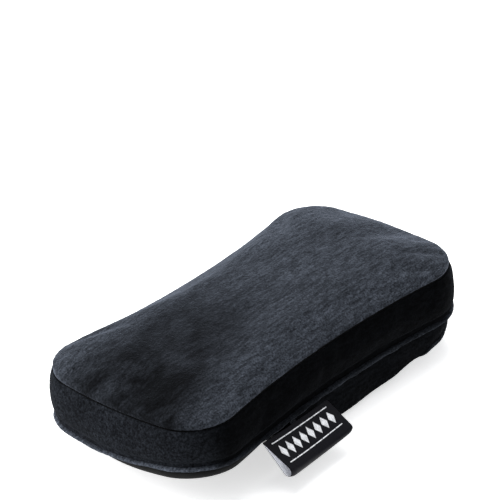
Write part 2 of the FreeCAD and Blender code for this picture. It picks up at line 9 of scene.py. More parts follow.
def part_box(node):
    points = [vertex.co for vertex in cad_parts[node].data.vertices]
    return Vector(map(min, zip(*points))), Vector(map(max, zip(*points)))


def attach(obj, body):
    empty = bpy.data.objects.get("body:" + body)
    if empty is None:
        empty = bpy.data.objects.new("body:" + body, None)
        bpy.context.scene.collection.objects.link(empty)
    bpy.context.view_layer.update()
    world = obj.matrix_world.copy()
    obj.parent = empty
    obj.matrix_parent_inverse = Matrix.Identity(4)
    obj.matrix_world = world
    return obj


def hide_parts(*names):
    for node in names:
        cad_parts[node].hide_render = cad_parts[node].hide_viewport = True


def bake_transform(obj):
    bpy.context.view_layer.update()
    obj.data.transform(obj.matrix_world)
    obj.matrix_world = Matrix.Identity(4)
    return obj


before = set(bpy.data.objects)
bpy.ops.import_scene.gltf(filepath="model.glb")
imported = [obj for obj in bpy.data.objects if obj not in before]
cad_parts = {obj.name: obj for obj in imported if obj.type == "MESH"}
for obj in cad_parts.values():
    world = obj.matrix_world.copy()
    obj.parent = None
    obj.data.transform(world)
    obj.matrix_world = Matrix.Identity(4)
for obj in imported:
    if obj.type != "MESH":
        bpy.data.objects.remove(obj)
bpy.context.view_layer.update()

# Everything is in metres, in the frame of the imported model.
MM = 0.001

# ---- driving sizes ----
END_ARC = 285 * MM
CORNER_ARC = 30 * MM
WAIST_ARC = 640 * MM
WAIST_HALF = 57.5 * MM
HALF_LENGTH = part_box("side_band")[1].x
TOP_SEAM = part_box("top_seam")[0].z
BAND_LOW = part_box("side_band")[0].z
WELT_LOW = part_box("bottom_seam_welt")[0].z
PANEL_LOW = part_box("bottom_panel")[0].z
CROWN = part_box("top_panel")[1].z - TOP_SEAM
ARC_CENTRE_Y = WAIST_HALF + WAIST_ARC
REAR_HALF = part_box("rear_band_upper")[1].x
ZIP_MIDDLE = (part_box("rear_band_lower")[1].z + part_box("rear_band_upper")[0].z) / 2


# ---- the pad's plan outline ----

class Outline:
    """Eight tangent arcs, run through counter-clockwise from the middle of the far end."""

    def __init__(self):
        end_x = HALF_LENGTH - END_ARC
        to_end = END_ARC - CORNER_ARC
        to_waist = WAIST_ARC + CORNER_ARC
        apart = math.hypot(end_x, ARC_CENTRE_Y)
        along = (to_end ** 2 - to_waist ** 2 + apart ** 2) / (2 * apart)
        aside = math.sqrt(to_end ** 2 - along ** 2)
        ux, uy = -end_x / apart, ARC_CENTRE_Y / apart
        corner_x = end_x + along * ux + aside * uy
        corner_y = along * uy - aside * ux
        end_turn = math.atan2(corner_y, corner_x - end_x)
        lean = math.atan2(corner_x, ARC_CENTRE_Y - corner_y)
        quarter, half = math.pi / 2, math.pi
        corner_turn = quarter + lean - end_turn
        # centre, radius, first angle, turn (negative on the two hollow waists)
        self.arcs = [
            ((end_x, 0), END_ARC, 0, end_turn),
            ((corner_x, corner_y), CORNER_ARC, end_turn, corner_turn),
            ((0, ARC_CENTRE_Y), WAIST_ARC, -quarter + lean, -2 * lean),
            ((-corner_x, corner_y), CORNER_ARC, quarter - lean, corner_turn),
            ((-end_x, 0), END_ARC, half - end_turn, 2 * end_turn),
            ((-corner_x, -corner_y), CORNER_ARC, half + end_turn, corner_turn),
            ((0, -ARC_CENTRE_Y), WAIST_ARC, quarter + lean, -2 * lean),
            ((corner_x, -corner_y), CORNER_ARC, -quarter - lean, corner_turn),
            ((end_x, 0), END_ARC, -end_turn, end_turn),
        ]
        lengths = [abs(turn) * radius for _, radius, _, turn in self.arcs]
        self.starts = np.concatenate([[0], np.cumsum(lengths)])
        self.length = self.starts[-1]

    def corner_middle(self, index):
        """Distance round to the middle of corner 1, 3, 5 or 7."""
        return (self.starts[index] + self.starts[index + 1]) / 2

    def at(self, distance):
        """Points and outward normals at distances round the outline."""
        distance = np.mod(np.asarray(distance, float), self.length)
        points = np.zeros((len(distance), 2))
        normals = np.zeros((len(distance), 2))
        for index, (centre, radius, first, turn) in enumerate(self.arcs):
            inside = (distance >= self.starts[index]) & (distance <= self.starts[index + 1])
            angle = first + np.sign(turn) * (distance[inside] - self.starts[index]) / radius
            spoke = np.stack([np.cos(angle), np.sin(angle)], 1)
            points[inside] = np.array(centre) + radius * spoke
            normals[inside] = spoke * np.sign(turn)
        return points, normals


OUTLINE = Outline()


def graded(count, grade=0.45):
    """Fractions from 0 to 1, closer together at both ends."""
    even = np.linspace(0, 1, count + 1)
    return (1 - grade) * even + grade * (0.5 - 0.5 * np.cos(math.pi * even))


def ripple(points, wavelength, seed, waves=9):
    """Smooth seeded noise, about -1 to 1, from plane waves of nearly one wavelength."""
    random = np.random.default_rng(seed)
    points = np.asarray(points, float)
    total = np.zeros(len(points))
    for _ in range(waves):
        direction = random.normal(size=points.shape[1])
        direction /= np.linalg.norm(direction)
        wave = direction * 2 * math.pi / (wavelength * random.uniform(0.7, 1.5))
        total += np.sin(points @ wave + random.uniform(0, 2 * math.pi))
    return total / math.sqrt(waves / 2) / 2


def ease(share):
    """A share kept between 0 and 1 and smoothed at both ends."""
    share = np.clip(share, 0, 1)
    return share * share * (3 - 2 * share)


def walked(path):
    """Distance walked from the start of a path to each of its points."""
    return np.concatenate([[0], np.cumsum(np.linalg.norm(np.diff(path, axis=0), axis=1))])


def unit(vectors):
    """Rows of vectors scaled to length 1."""
    return vectors / np.linalg.norm(vectors, axis=1, keepdims=True)


# ---- mesh helpers ----

def mesh_object(name, points, faces):
    """A new object in the scene."""
    mesh = bpy.data.meshes.new(name)
    mesh.from_pydata([tuple(p) for p in points], [], [tuple(int(i) for i in f) for f in faces])
    mesh.validate()
    obj = bpy.data.objects.new(name, mesh)
    bpy.context.scene.collection.objects.link(obj)
    return obj


def shade_smooth(obj):
    obj.data.polygons.foreach_set("use_smooth", [True] * len(obj.data.polygons))


def apply_modifiers(obj):
    """Bake an object's modifiers into its mesh."""
    bpy.context.view_layer.update()
    graph = bpy.context.evaluated_depsgraph_get()
    mesh = bpy.data.meshes.new_from_object(obj.evaluated_get(graph))
    obj.modifiers.clear()
    obj.data = mesh


def fix_normals(obj):
    """Point every face outwards."""
    work = bmesh.new()
    work.from_mesh(obj.data)
    bmesh.ops.recalc_face_normals(work, faces=work.faces)
    work.to_mesh(obj.data)
    work.free()


def smooth_object(name, points, faces):
    """A closed mesh with its faces outwards, shaded smooth."""
    obj = mesh_object(name, points, faces)
    fix_normals(obj)
    shade_smooth(obj)
    return obj


def thicken(obj, thickness, offset=-1.0):
    """Give a sheet a thickness; offset -1 keeps the drawn side outside."""
    solid = obj.modifiers.new("thickness", "SOLIDIFY")
    solid.thickness = thickness
    solid.offset = offset
    solid.use_even_offset = False
    apply_modifiers(obj)


def subdivide(obj, levels=1):
    """Round a mesh off and shade it smooth."""
    smooth = obj.modifiers.new("smooth", "SUBSURF")
    smooth.levels = levels
    smooth.render_levels = levels
    apply_modifiers(obj)
    shade_smooth(obj)


def dress(obj, material, body="root", stands_for=()):
    """Material (None keeps what it has), slot, body and the CAD nodes that a piece stands for."""
    if isinstance(material, bpy.types.Material):
        obj.data.materials.clear()
        obj.data.materials.append(material)
    if body:
        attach(obj, body)
    if stands_for:
        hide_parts(*stands_for)
    return obj


def grid_faces(rows, columns, closed=False, first=0):
    """Quads of a grid whose points run row by row; closed joins the last column to the first."""
    faces = []
    for row in range(rows - 1):
        for column in range(columns if closed else columns - 1):
            after = (column + 1) % columns
            low = first + row * columns
            high = low + columns
            faces.append((low + column, low + after, high + after, high + column))
    return faces


def tube_faces(rows, columns, first=0):
    """Quads of a tube and the faces that close its two ends."""
    last = first + (rows - 1) * columns
    ends = [tuple(range(first, first + columns))[::-1], tuple(range(last, last + columns))]
    return grid_faces(rows, columns, closed=True, first=first) + ends


def slab_faces(rows, columns, first=0):
    """Quads of two equal grids, one after the other in the points, joined round their rims."""
    size = rows * columns
    rim = ([row * columns for row in range(rows)]
           + [(rows - 1) * columns + column for column in range(1, columns)]
           + [row * columns + columns - 1 for row in range(rows - 2, -1, -1)]
           + list(range(columns - 2, 0, -1)))
    faces = grid_faces(rows, columns, first=first) + grid_faces(rows, columns, first=first + size)
    for here, after in zip(rim, rim[1:] + rim[:1]):
        faces.append((first + here, first + after, first + size + after, first + size + here))
    return faces


def sweep(name, path, across, up, section, closed, sizes=None):
    """A tube along path. across and up are unit vectors at each point, section gives
    (across, up) offsets of a closed outline, and sizes scales it along the way."""
    rings = []
    sizes = np.ones(len(path)) if sizes is None else sizes
    for point, side, rise, size in zip(path, across, up, sizes):
        rings.append([point + size * (a * side + b * rise) for a, b in section])
    rings = np.array(rings)
    count, size = rings.shape[:2]
    faces = tube_faces(count, size)
    if closed:
        last = (count - 1) * size
        faces[-2:] = [(last + i, last + (i + 1) % size, (i + 1) % size, i) for i in range(size)]
    return smooth_object(name, rings.reshape(-1, 3), faces)


def oval(half_across, half_up, count=12, power=1.0):
    """A closed section: an ellipse, or squarer with power below 1."""
    turns = np.linspace(0, 2 * math.pi, count, endpoint=False)
    cosine, sine = np.cos(turns), np.sin(turns)
    a = half_across * np.sign(cosine) * np.abs(cosine) ** power
    b = half_up * np.sign(sine) * np.abs(sine) ** power
    return list(zip(a, b))


# ---- materials ----

def new_material(name):
    """A new material with its node tree and its Principled shader."""
    material = bpy.data.materials.new(name)
    material.use_nodes = True
    tree = material.node_tree
    shader = tree.nodes["Principled BSDF"]
    return material, tree, shader


def node(tree, kind, **settings):
    """A new node with its inputs or properties set."""
    made = tree.nodes.new(kind)
    for key, value in settings.items():
        if key in made.inputs:
            made.inputs[key].default_value = value
        else:
            setattr(made, key, value)
    return made


def scaled_coordinates(tree, scale=(1, 1, 1), turn=0.0):
    """Object coordinates, stretched along the axes and turned about the vertical."""
    coordinates = node(tree, "ShaderNodeTexCoord")
    mapping = node(tree, "ShaderNodeMapping", Scale=scale, Rotation=(0, 0, turn))
    tree.links.new(coordinates.outputs["Object"], mapping.inputs["Vector"])
    return mapping.outputs["Vector"]


def noise(tree, vector, scale, detail=2.0, rough=0.5, distortion=0.0):
    """The value of a noise texture."""
    made = node(tree, "ShaderNodeTexNoise", Scale=scale, Detail=detail, Roughness=rough,
                Distortion=distortion)
    tree.links.new(vector, made.inputs["Vector"])
    return made.outputs["Fac"]


def ramp(tree, value, stops):
    """A colour ramp from (position, colour) pairs."""
    made = node(tree, "ShaderNodeValToRGB")
    elements = made.color_ramp.elements
    while len(elements) < len(stops):
        elements.new(0.5)
    for element, (position, colour) in zip(elements, stops):
        element.position = position
        element.color = (*colour, 1)
    tree.links.new(value, made.inputs["Fac"])
    return made.outputs["Color"]


def mix(tree, factor, first, second, blend_type="MIX"):
    """Blend two colours. Each of the three inputs is a socket or a value."""
    made = node(tree, "ShaderNodeMix", data_type="RGBA", blend_type=blend_type)
    for socket, value in ((made.inputs[0], factor), (made.inputs[6], first), (made.inputs[7], second)):
        if isinstance(value, bpy.types.NodeSocket):
            tree.links.new(value, socket)
        else:
            socket.default_value = value
    return made.outputs[2]


def add_bump(tree, shader, heights, strength=1.0):
    """Chain of bumps: (height socket, distance in metres)."""
    normal = None
    for height, distance in heights:
        bump = node(tree, "ShaderNodeBump", Strength=strength, Distance=distance)
        tree.links.new(height, bump.inputs["Height"])
        if normal:
            tree.links.new(normal, bump.inputs["Normal"])
        normal = bump.outputs["Normal"]
    tree.links.new(normal, shader.inputs["Normal"])


def grey(value, tint=(1.0, 1.0, 1.0)):
    """A grey, tinted."""
    return tuple(value * part for part in tint)


def set_surface(tree, shader, base, roughness, specular=None, sheen=None):
    """Link the base colour and set the levels that are the same all over."""
    tree.links.new(base, shader.inputs["Base Color"])
    shader.inputs["Roughness"].default_value = roughness
    for level, value in (("Specular IOR Level", specular), ("Sheen Weight", sheen)):
        if value is not None:
            shader.inputs[level].default_value = value


COOL = (0.86, 0.98, 1.22)
# Skew of the label-side edge of the painted shade on the top's near end.
SHADED_NEAR_END_SKEW = math.radians(-18)


def make_plush(name, tone, sheen=0.3, specular=0.04, brushed_and_shaded=False, shade=1.0):
    """Short dark plush. Darkening the top's near end paints that end's shade, broken up into patches where
    the nap was stroked the other way; shade paints shade on the label side, which faces away from the
    lamps."""
    material, tree, shader = new_material(name)
    plain = scaled_coordinates(tree)
    along = scaled_coordinates(tree, (0.22, 1, 1))
    fibres = noise(tree, plain, 900, 3.0, 0.7)
    streaks = noise(tree, along, 520, 3.0, 0.65)
    tufts = noise(tree, plain, 230, 3.0, 0.6, 0.4)
    patches = noise(tree, along, 24, 4.0, 0.55, 0.8)
    base = ramp(tree, patches, [(0.32, grey(0.72 * tone, COOL)), (0.52, grey(tone, COOL)),
                                (0.72, grey(1.3 * tone, COOL))])
    for pattern, low, high in ((fibres, 0.35, 1.75), (streaks, 0.5, 1.6)):
        shades = ramp(tree, pattern, [(0.34, (low,) * 3), (0.66, (high,) * 3)])
        base = mix(tree, 1.0, base, shades, "MULTIPLY")
    # Painted shade: the top's near end is darkened, in patches where the nap lies the other way.
    if brushed_and_shaded:
        skewed = scaled_coordinates(tree, turn=SHADED_NEAR_END_SKEW)
        reach = place_mask(tree, plain, [("X", 24 * MM, -60 * MM), ("Y", 50 * MM, 18 * MM)])
        reach = mix(tree, place_mask(tree, skewed, [("Y", -26 * MM, 2 * MM)]), (0, 0, 0, 1), reach)
        strokes = noise(tree, scaled_coordinates(tree, (0.5, 1, 1)), 34, 5.0, 0.62, 0.6)
        cut = ramp(tree, strokes, [(0.34, (0.55,) * 3), (0.60, (0.06,) * 3)])
        base = mix(tree, reach, base, mix(tree, 1.0, base, cut, "MULTIPLY"))
    # Painted shade: the label side's stretch between the ends is darkened, as it faces away from the lamps.
    if shade < 1:
        shaded = place_mask(tree, plain, [("X", 122 * MM, 96 * MM), ("Y", -36 * MM, -52 * MM)], True)
        base = mix(tree, shaded, base, mix(tree, 1.0, base, (shade,) * 3 + (1,), "MULTIPLY"))
    set_surface(tree, shader, base, 0.95, specular, sheen)
    shader.inputs["Sheen Roughness"].default_value = 0.3
    shader.inputs["Sheen Tint"].default_value = (*grey(0.5, COOL), 1)
    add_bump(tree, shader, [(tufts, 0.9 * MM), (fibres, 0.5 * MM)], 0.6)
    return material


def place_mask(tree, plain, limits, flip_x=False):
    """Product of smooth steps along axes; each limit is (axis, where it is 0, where it is 1).
    flip_x folds the two ends of the pad onto each other."""
    split = node(tree, "ShaderNodeSeparateXYZ")
    tree.links.new(plain, split.inputs[0])
    product = None
    for axis, none, full in limits:
        source = split.outputs[axis]
        if axis == "X" and flip_x:
            away = node(tree, "ShaderNodeMath", operation="ABSOLUTE")
            tree.links.new(source, away.inputs[0])
            source = away.outputs[0]
        reach = node(tree, "ShaderNodeMapRange", interpolation_type="SMOOTHSTEP")
        reach.inputs["From Min"].default_value = none
        reach.inputs["From Max"].default_value = full
        tree.links.new(source, reach.inputs["Value"])
        if product is None:
            product = reach.outputs["Result"]
            continue
        both = node(tree, "ShaderNodeMath", operation="MULTIPLY")
        tree.links.new(product, both.inputs[0])
        tree.links.new(reach.outputs["Result"], both.inputs[1])
        product = both.outputs["Value"]
    return product


def make_woven(name, colour, pitch, roughness=0.85):
    """Cloth or tape with a fine weave of waves along the three axes."""
    material, tree, shader = new_material(name)
    vector = scaled_coordinates(tree)
    waves = []
    for direction in "XYZ":
        wave = node(tree, "ShaderNodeTexWave", Scale=0.5 / pitch, Distortion=0.6, bands_direction=direction)
        tree.links.new(vector, wave.inputs["Vector"])
        waves.append(wave.outputs["Color"])
    weave = mix(tree, 0.34, mix(tree, 0.5, waves[0], waves[1]), waves[2])
    mottling = noise(tree, vector, 90, 3.0)
    base = ramp(tree, mottling, [(0.3, grey(colour * 0.7)), (0.7, grey(colour * 1.3))])
    base = mix(tree, 0.5, base, weave, "MULTIPLY")
    set_surface(tree, shader, base, roughness, min(0.25, 8 * colour), min(0.15, 4 * colour))
    add_bump(tree, shader, [(weave, 0.15 * MM)], 0.7)
    return material


def make_satin(name, colour, roughness=0.38, specular=0.4):
    """Ribbon with a fine twill and a soft gloss."""
    material, tree, shader = new_material(name)
    vector = scaled_coordinates(tree, (1, 0.15, 0.15))
    threads = noise(tree, vector, 2600, 2.0)
    creases = noise(tree, scaled_coordinates(tree), 120, 2.0)
    base = ramp(tree, threads, [(0.35, tuple(0.75 * c for c in colour)),
                                (0.65, tuple(1.25 * c for c in colour))])
    set_surface(tree, shader, base, roughness, specular)
    add_bump(tree, shader, [(creases, 0.5 * MM), (threads, 0.08 * MM)], 0.5)
    return material


def make_foam():
    """Charcoal foam with fine open cells."""
    material, tree, shader = new_material("memory_foam")
    vector = scaled_coordinates(tree)
    cells = node(tree, "ShaderNodeTexVoronoi", Scale=900)
    tree.links.new(vector, cells.inputs["Vector"])
    tone = noise(tree, vector, 30, 3.0)
    base = ramp(tree, tone, [(0.3, (0.05, 0.05, 0.054)), (0.7, (0.07, 0.07, 0.074))])
    set_surface(tree, shader, base, 0.95)
    add_bump(tree, shader, [(cells.outputs["Distance"], 0.4 * MM)], 0.6)
    return material


def make_hooks(name, colour, scale, depth):
    """Hook or loop tape: a field of small raised points."""
    material, tree, shader = new_material(name)
    vector = scaled_coordinates(tree)
    points = node(tree, "ShaderNodeTexVoronoi", Scale=scale)
    tree.links.new(vector, points.inputs["Vector"])
    base = ramp(tree, points.outputs["Distance"], [(0.1, grey(colour * 2.2)), (0.6, grey(colour * 0.5))])
    set_surface(tree, shader, base, 0.6)
    add_bump(tree, shader, [(points.outputs["Distance"], depth)], 0.8)
    return material


def make_enamel(name, colour):
    """Painted zinc with rubbed edges."""
    material, tree, shader = new_material(name)
    vector = scaled_coordinates(tree)
    rubbed = noise(tree, vector, 700, 4.0, 0.6)
    base = ramp(tree, rubbed, [(0.58, grey(colour)), (0.78, (0.28, 0.27, 0.26))])
    gloss = ramp(tree, noise(tree, vector, 400, 2.0), [(0.3, (0.25,) * 3), (0.7, (0.42,) * 3)])
    tree.links.new(base, shader.inputs["Base Color"])
    tree.links.new(gloss, shader.inputs["Roughness"])
    shader.inputs["Metallic"].default_value = 0.35
    return material


PLUSH_TOP = make_plush("plush_top", 0.0265, sheen=0.52, brushed_and_shaded=True)
# The band's copy of the plush, darker than the top: painted shade of the sides, deepest on the label side.
PLUSH_SIDE_PAINTED_SHADE = make_plush("plush_side_painted_shade", 0.0098, sheen=0.03, specular=0.02, shade=0.12)
# The rolled edges' copy of the plush, twice the top's tone: a painted highlight where the rolls catch the
# light, with painted shade on the label side.
PLUSH_RIM_PAINTED_LIGHT = make_plush("plush_rim_painted_light", 0.052, sheen=0.22, shade=0.22)
# The wrap's copy of the plush, darker still: painted shade under the pad's overhanging band, deepest on the
# label side.
PLUSH_WRAP_PAINTED_SHADE = make_plush("plush_wrap_painted_shade", 0.008, sheen=0.03, specular=0.02, shade=0.3)
BASE_CLOTH = make_woven("base_cloth", 0.01, 0.9 * MM)
BINDING = make_woven("binding_tape", 0.018, 0.7 * MM)
ZIP_TAPE = make_woven("zipper_tape", 0.018, 0.6 * MM)
THREAD = make_woven("sewing_thread", 0.022, 0.3 * MM, 0.6)
# Near-black, far darker than the plush: the crease thread carries the painted shade of the top seam's
# crease.
CREASE_SHADE_THREAD = make_woven("seam_thread_painted_shade", 0.002, 0.3 * MM, 0.8)
SATIN = make_satin("label_satin", (0.004, 0.004, 0.006), specular=0.09)
SATIN_BACK = make_satin("label_back", (0.85, 0.86, 0.9), 0.6)
SATIN_STRIPE = make_satin("label_stripe", (0.72, 0.73, 0.75), 0.5)
FOAM = make_foam()
HOOKS = make_hooks("hook_tape", 0.02, 900, 0.5 * MM)
LOOPS = make_hooks("loop_tape", 0.03, 600, 0.3 * MM)
COIL = make_satin("zipper_coil", (0.02, 0.02, 0.022), 0.35)
ENAMEL = make_enamel("enamelled_zinc", 0.02)


# ---- cover ----
# The panels' grid has ALONG by ACROSS squares, and the band has BAND_ROWS rows.
ALONG = 112
ACROSS = 58
BAND_ROWS = 20
CLOTH = 1.4 * MM
BASE_THICKNESS = 1.0 * MM
SHOULDER = 24 * MM
SHOULDER_POWER = 2.2
SHOULDER_SHARE = 0.68
DOME_SHARE = 0.32
DOME_REACH = 2.6
SEAM_TUCK = 1.5 * MM
BAND_BULGE = 3.0 * MM
REAR_INSET = 0.1 * MM
REAR_FADE = 24 * MM
GROOVE_DEPTH = 1.5 * MM
GROOVE_PLACE = 0.87
GROOVE_WIDTH = 0.03
NEAR_CORNER = (-112 * MM, -52 * MM)
NEAR_END = (-122 * MM, 20 * MM)
ROLL_BEFORE = 82 * MM
ROLL_AFTER = 62 * MM
SWELL_LIMIT = 2.2 * MM
SWELL_FRAMES = 20


def side_distances():
    """Distances round the outline of the four sides' points, from corner middle to corner
    middle: far end, back, near end and label side."""
    corners = [OUTLINE.corner_middle(index) for index in (7, 1, 3, 5)]
    corners[0] -= OUTLINE.length
    corners.append(corners[0] + OUTLINE.length)
    sides = []
    for index, count in enumerate((ACROSS, ALONG, ACROSS, ALONG)):
        start, end = corners[index], corners[index + 1]
        sides.append(start + (end - start) * graded(count))
    return sides


SIDES = side_distances()
RING = np.concatenate([side[:-1] for side in SIDES])
RING_POINTS, RING_NORMALS = OUTLINE.at(RING)
RING_COUNT = len(RING)


def patch_points(inset):
    """A grid that fills the outline moved inwards; its edge points are the ring's."""
    moved = []
    for side in SIDES:
        plan, normals = OUTLINE.at(side)
        moved.append(plan - inset * normals)
    east, north, west, south = moved
    north, west = north[::-1], west[::-1]
    u = graded(ALONG)[:, None, None]
    v = graded(ACROSS)[None, :, None]
    across = (1 - v) * south[:, None] + v * north[:, None]
    along = (1 - u) * west[None] + u * east[None]
    corners = ((1 - u) * (1 - v) * south[0] + u * (1 - v) * south[-1]
               + (1 - u) * v * north[0] + u * v * north[-1])
    return across + along - corners


def ring_index(i, j):
    """Place in the ring of an edge point of the grid, or None inside it."""
    if i == ALONG and j < ACROSS:
        return j
    if j == ACROSS and i > 0:
        return ACROSS + ALONG - i
    if i == 0 and j > 0:
        return ACROSS + ALONG + ACROSS - j
    if j == 0 and i < ALONG:
        return (2 * ACROSS + ALONG + i) % RING_COUNT
    return None


def edge_distance(points):
    """Distance of plan points to the outline."""
    dense, _ = OUTLINE.at(np.linspace(0, OUTLINE.length, 1600, endpoint=False))
    nearest = np.zeros(len(points))
    for start in range(0, len(points), 2000):
        block = points[start:start + 2000]
        gaps = np.linalg.norm(block[:, None] - dense[None], axis=2)
        nearest[start:start + 2000] = gaps.min(axis=1)
    return nearest


def crown(distance):
    """Rise of the top panel at a distance inside its seam: a rolled shoulder and a slow dome."""
    roll = np.clip(distance / SHOULDER, 0, 1)
    shoulder = (1 - (1 - roll) ** SHOULDER_POWER) ** (1 / SHOULDER_POWER)
    dome = (1 - np.exp(-distance / SHOULDER)) / (1 - math.exp(-DOME_REACH))
    return CROWN * (SHOULDER_SHARE * shoulder + DOME_SHARE * dome)


def sag(points):
    """Drop of the bottom panel below its seam: most near the near end, little over the armrest."""
    near = 1 / (1 + np.exp((points[:, 0] + 52 * MM) / (7 * MM)))
    far = 1 / (1 + np.exp((points[:, 0] + 84 * MM) / (8 * MM)))
    return (0.4 + 2.0 * near + 3.0 * far) * MM


def hump(plan, centre, height, spread):
    """A smooth hump about a centre in plan."""
    away = (plan[:, 0] - centre[0]) ** 2 + (plan[:, 1] - centre[1]) ** 2
    return height * np.exp(-away / (2 * spread ** 2))


def rim_lift(plan):
    """How far the bottom seam rides up: at the near corner on the label side it lifts, and
    along the rest of the near end it hangs a little."""
    return hump(plan, NEAR_CORNER, 5.2 * MM, 24 * MM) - hump(plan, NEAR_END, 2.0 * MM, 34 * MM)


def make_cover():
    """The closed cover as one mesh: top panel, band and bottom panel, with its seams' rings.
    Returns points, faces, each face's panel, and how firmly each point is held."""
    points = []
    faces = []
    panels = []
    held = []
    rear = rear_share(RING_POINTS)
    puckers = ripple(np.stack([RING, RING * 0], 1), 15 * MM, 3)

    # rings from the top seam down to the bottom seam
    for row in graded(BAND_ROWS, 0.7):
        midway = math.sin(math.pi * row)
        plain = BAND_BULGE * midway ** 0.7 - SEAM_TUCK
        flat = -SEAM_TUCK + (SEAM_TUCK - REAR_INSET) * min(1, 4 * midway)
        groove = GROOVE_DEPTH * math.exp(-((row - GROOVE_PLACE) / GROOVE_WIDTH) ** 2)
        out = plain + (flat - plain) * rear + (0.25 * MM * puckers * midway - groove) * (1 - rear)
        plan = RING_POINTS + RING_NORMALS * out[:, None]
        height = TOP_SEAM + (BAND_LOW - TOP_SEAM) * row + rim_lift(RING_POINTS) * row ** 1.5
        points.extend(np.column_stack([plan, height]))
        held.extend(np.maximum(rear, 1.0 if midway < 1e-6 else 0.0))
    faces.extend(grid_faces(BAND_ROWS + 1, RING_COUNT, closed=True))
    panels.extend(["band"] * (BAND_ROWS * RING_COUNT))

    def fill(edge_first, height, name, grip):
        """A panel inside a ring whose points start at edge_first."""
        plan = patch_points(SEAM_TUCK)
        flat = plan.reshape(-1, 2)
        heights = height(flat, edge_distance(flat)).reshape(plan.shape[:2])
        numbers = {}
        for i in range(ALONG + 1):
            for j in range(ACROSS + 1):
                place = ring_index(i, j)
                if place is None:
                    numbers[i, j] = len(points)
                    points.append((*plan[i, j], heights[i, j]))
                    held.append(grip)
                else:
                    numbers[i, j] = edge_first + place
        for i in range(ALONG):
            for j in range(ACROSS):
                square = ((i, j), (i + 1, j), (i + 1, j + 1), (i, j + 1))
                faces.append([numbers[corner] for corner in square])
                panels.append(name)

    def top(plan, distance):
        soft = 0.5 * MM * ripple(plan, 42 * MM, 11) * np.clip(distance / (20 * MM), 0, 1)
        return TOP_SEAM + crown(distance) + soft

    def bottom(plan, distance):
        inward = np.exp(-distance / (3 * MM))
        edge = BAND_LOW + rim_lift(plan) * np.exp(-distance / (12 * MM)) - 0.4 * MM
        return edge - sag(plan) * (1 - inward)

    fill(0, top, "top", 0.0)
    fill(BAND_ROWS * RING_COUNT, bottom, "bottom", 1.0)
    return np.array(points), faces, panels, held


def rear_share(plan):
    """1 along the zipped stretch of the back long side, 0 elsewhere."""
    reach = ease((REAR_HALF + 26 * MM - np.abs(plan[:, 0])) / REAR_FADE)
    return np.where(plan[:, 1] > 0, reach, 0)


def swell(points, faces, held):
    """Blow the closed cover up a little as cloth, held at its seams. No point moves more than
    SWELL_LIMIT."""
    obj = mesh_object("swelling", points, faces)
    group = obj.vertex_groups.new(name="held")
    for index, weight in enumerate(held):
        if weight > 0:
            group.add([index], float(weight), "REPLACE")
    cloth = obj.modifiers.new("cloth", "CLOTH")
    settings = cloth.settings
    settings.quality = 4
    settings.mass = 0.2
    settings.tension_stiffness = 12
    settings.compression_stiffness = 12
    settings.shear_stiffness = 4
    settings.bending_stiffness = 0.4
    settings.use_pressure = True
    settings.uniform_pressure_force = 4
    settings.shrink_min = -0.004
    settings.vertex_group_mass = "held"
    settings.effector_weights.gravity = 0
    scene = bpy.context.scene
    for number in range(1, SWELL_FRAMES + 1):
        scene.frame_set(number)
    graph = bpy.context.evaluated_depsgraph_get()
    shape = obj.evaluated_get(graph).to_mesh()
    moved = np.zeros(len(points) * 3)
    shape.vertices.foreach_get("co", moved)
    obj.evaluated_get(graph).to_mesh_clear()
    bpy.data.objects.remove(obj)
    scene.frame_set(1)
    step = moved.reshape(-1, 3) - points
    size = np.linalg.norm(step, axis=1, keepdims=True)
    limited = SWELL_LIMIT * np.tanh(size / SWELL_LIMIT)
    return points + step / np.maximum(size, 1e-9) * limited


def cut_panel(name, points, faces, chosen, material, stands_for, thickness=CLOTH):
    """One panel of the cover as its own piece of cloth with a thickness inwards."""
    kept = [face for face, keep in zip(faces, chosen) if keep]
    used = sorted({index for face in kept for index in face})
    renumbered = {old: new for new, old in enumerate(used)}
    obj = mesh_object(name, points[used], [[renumbered[i] for i in face] for face in kept])
    thicken(obj, thickness)
    subdivide(obj)
    nap(obj, name)
    dress(obj, material, stands_for=stands_for)


def nap(obj, name):
    """Lift the cloth's points in small clumps, as plush with a stroked nap does."""
    count = len(obj.data.vertices)
    places = np.zeros(count * 3)
    normals = np.zeros(count * 3)
    obj.data.vertices.foreach_get("co", places)
    obj.data.vertices.foreach_get("normal", normals)
    places, normals = places.reshape(-1, 3), normals.reshape(-1, 3)
    seed = len(name)
    clumps = 0.07 * MM * ripple(places, 4.5 * MM, seed) + 0.05 * MM * ripple(places, 2.2 * MM, seed + 1)
    obj.data.vertices.foreach_set("co", (places + normals * clumps[:, None]).ravel())
    obj.data.update()


def outward(points, faces):
    """The faces turned so that the closed mesh's normals point outwards."""
    probe = mesh_object("probe", points, faces)
    fix_normals(probe)
    turned = [list(polygon.vertices) for polygon in probe.data.polygons]
    bpy.data.objects.remove(probe)
    return turned


def build_cover():
    """The cover's top, band and bottom, cut from one swollen closed form."""
    points, faces, panels, held = make_cover()
    faces = outward(points, faces)
    points = swell(points, faces, held)
    centres = np.array([points[face].mean(axis=0) for face in faces])
    panels = np.array(panels)
    rear = (centres[:, 1] > 0) & (np.abs(centres[:, 0]) < REAR_HALF)
    cut_panel("cover_top", points, faces, panels == "top", PLUSH_TOP, ["top_panel"])
    # The band takes the plush's darker copy: painted shade of the sides.
    cut_panel("cover_band", points, faces, (panels == "band") & ~rear, PLUSH_SIDE_PAINTED_SHADE, ["side_band"])
    cut_panel("cover_bottom", points, faces, panels == "bottom", BASE_CLOTH,
              ["bottom_panel"], BASE_THICKNESS)


def along_outline(distance):
    """Plan points, their outward normals, and the outward and upward directions in space."""
    plan, normals = OUTLINE.at(distance)
    across = np.column_stack([normals, np.zeros(len(plan))])
    return plan, normals, across, np.tile([0.0, 0.0, 1.0], (len(plan), 1))


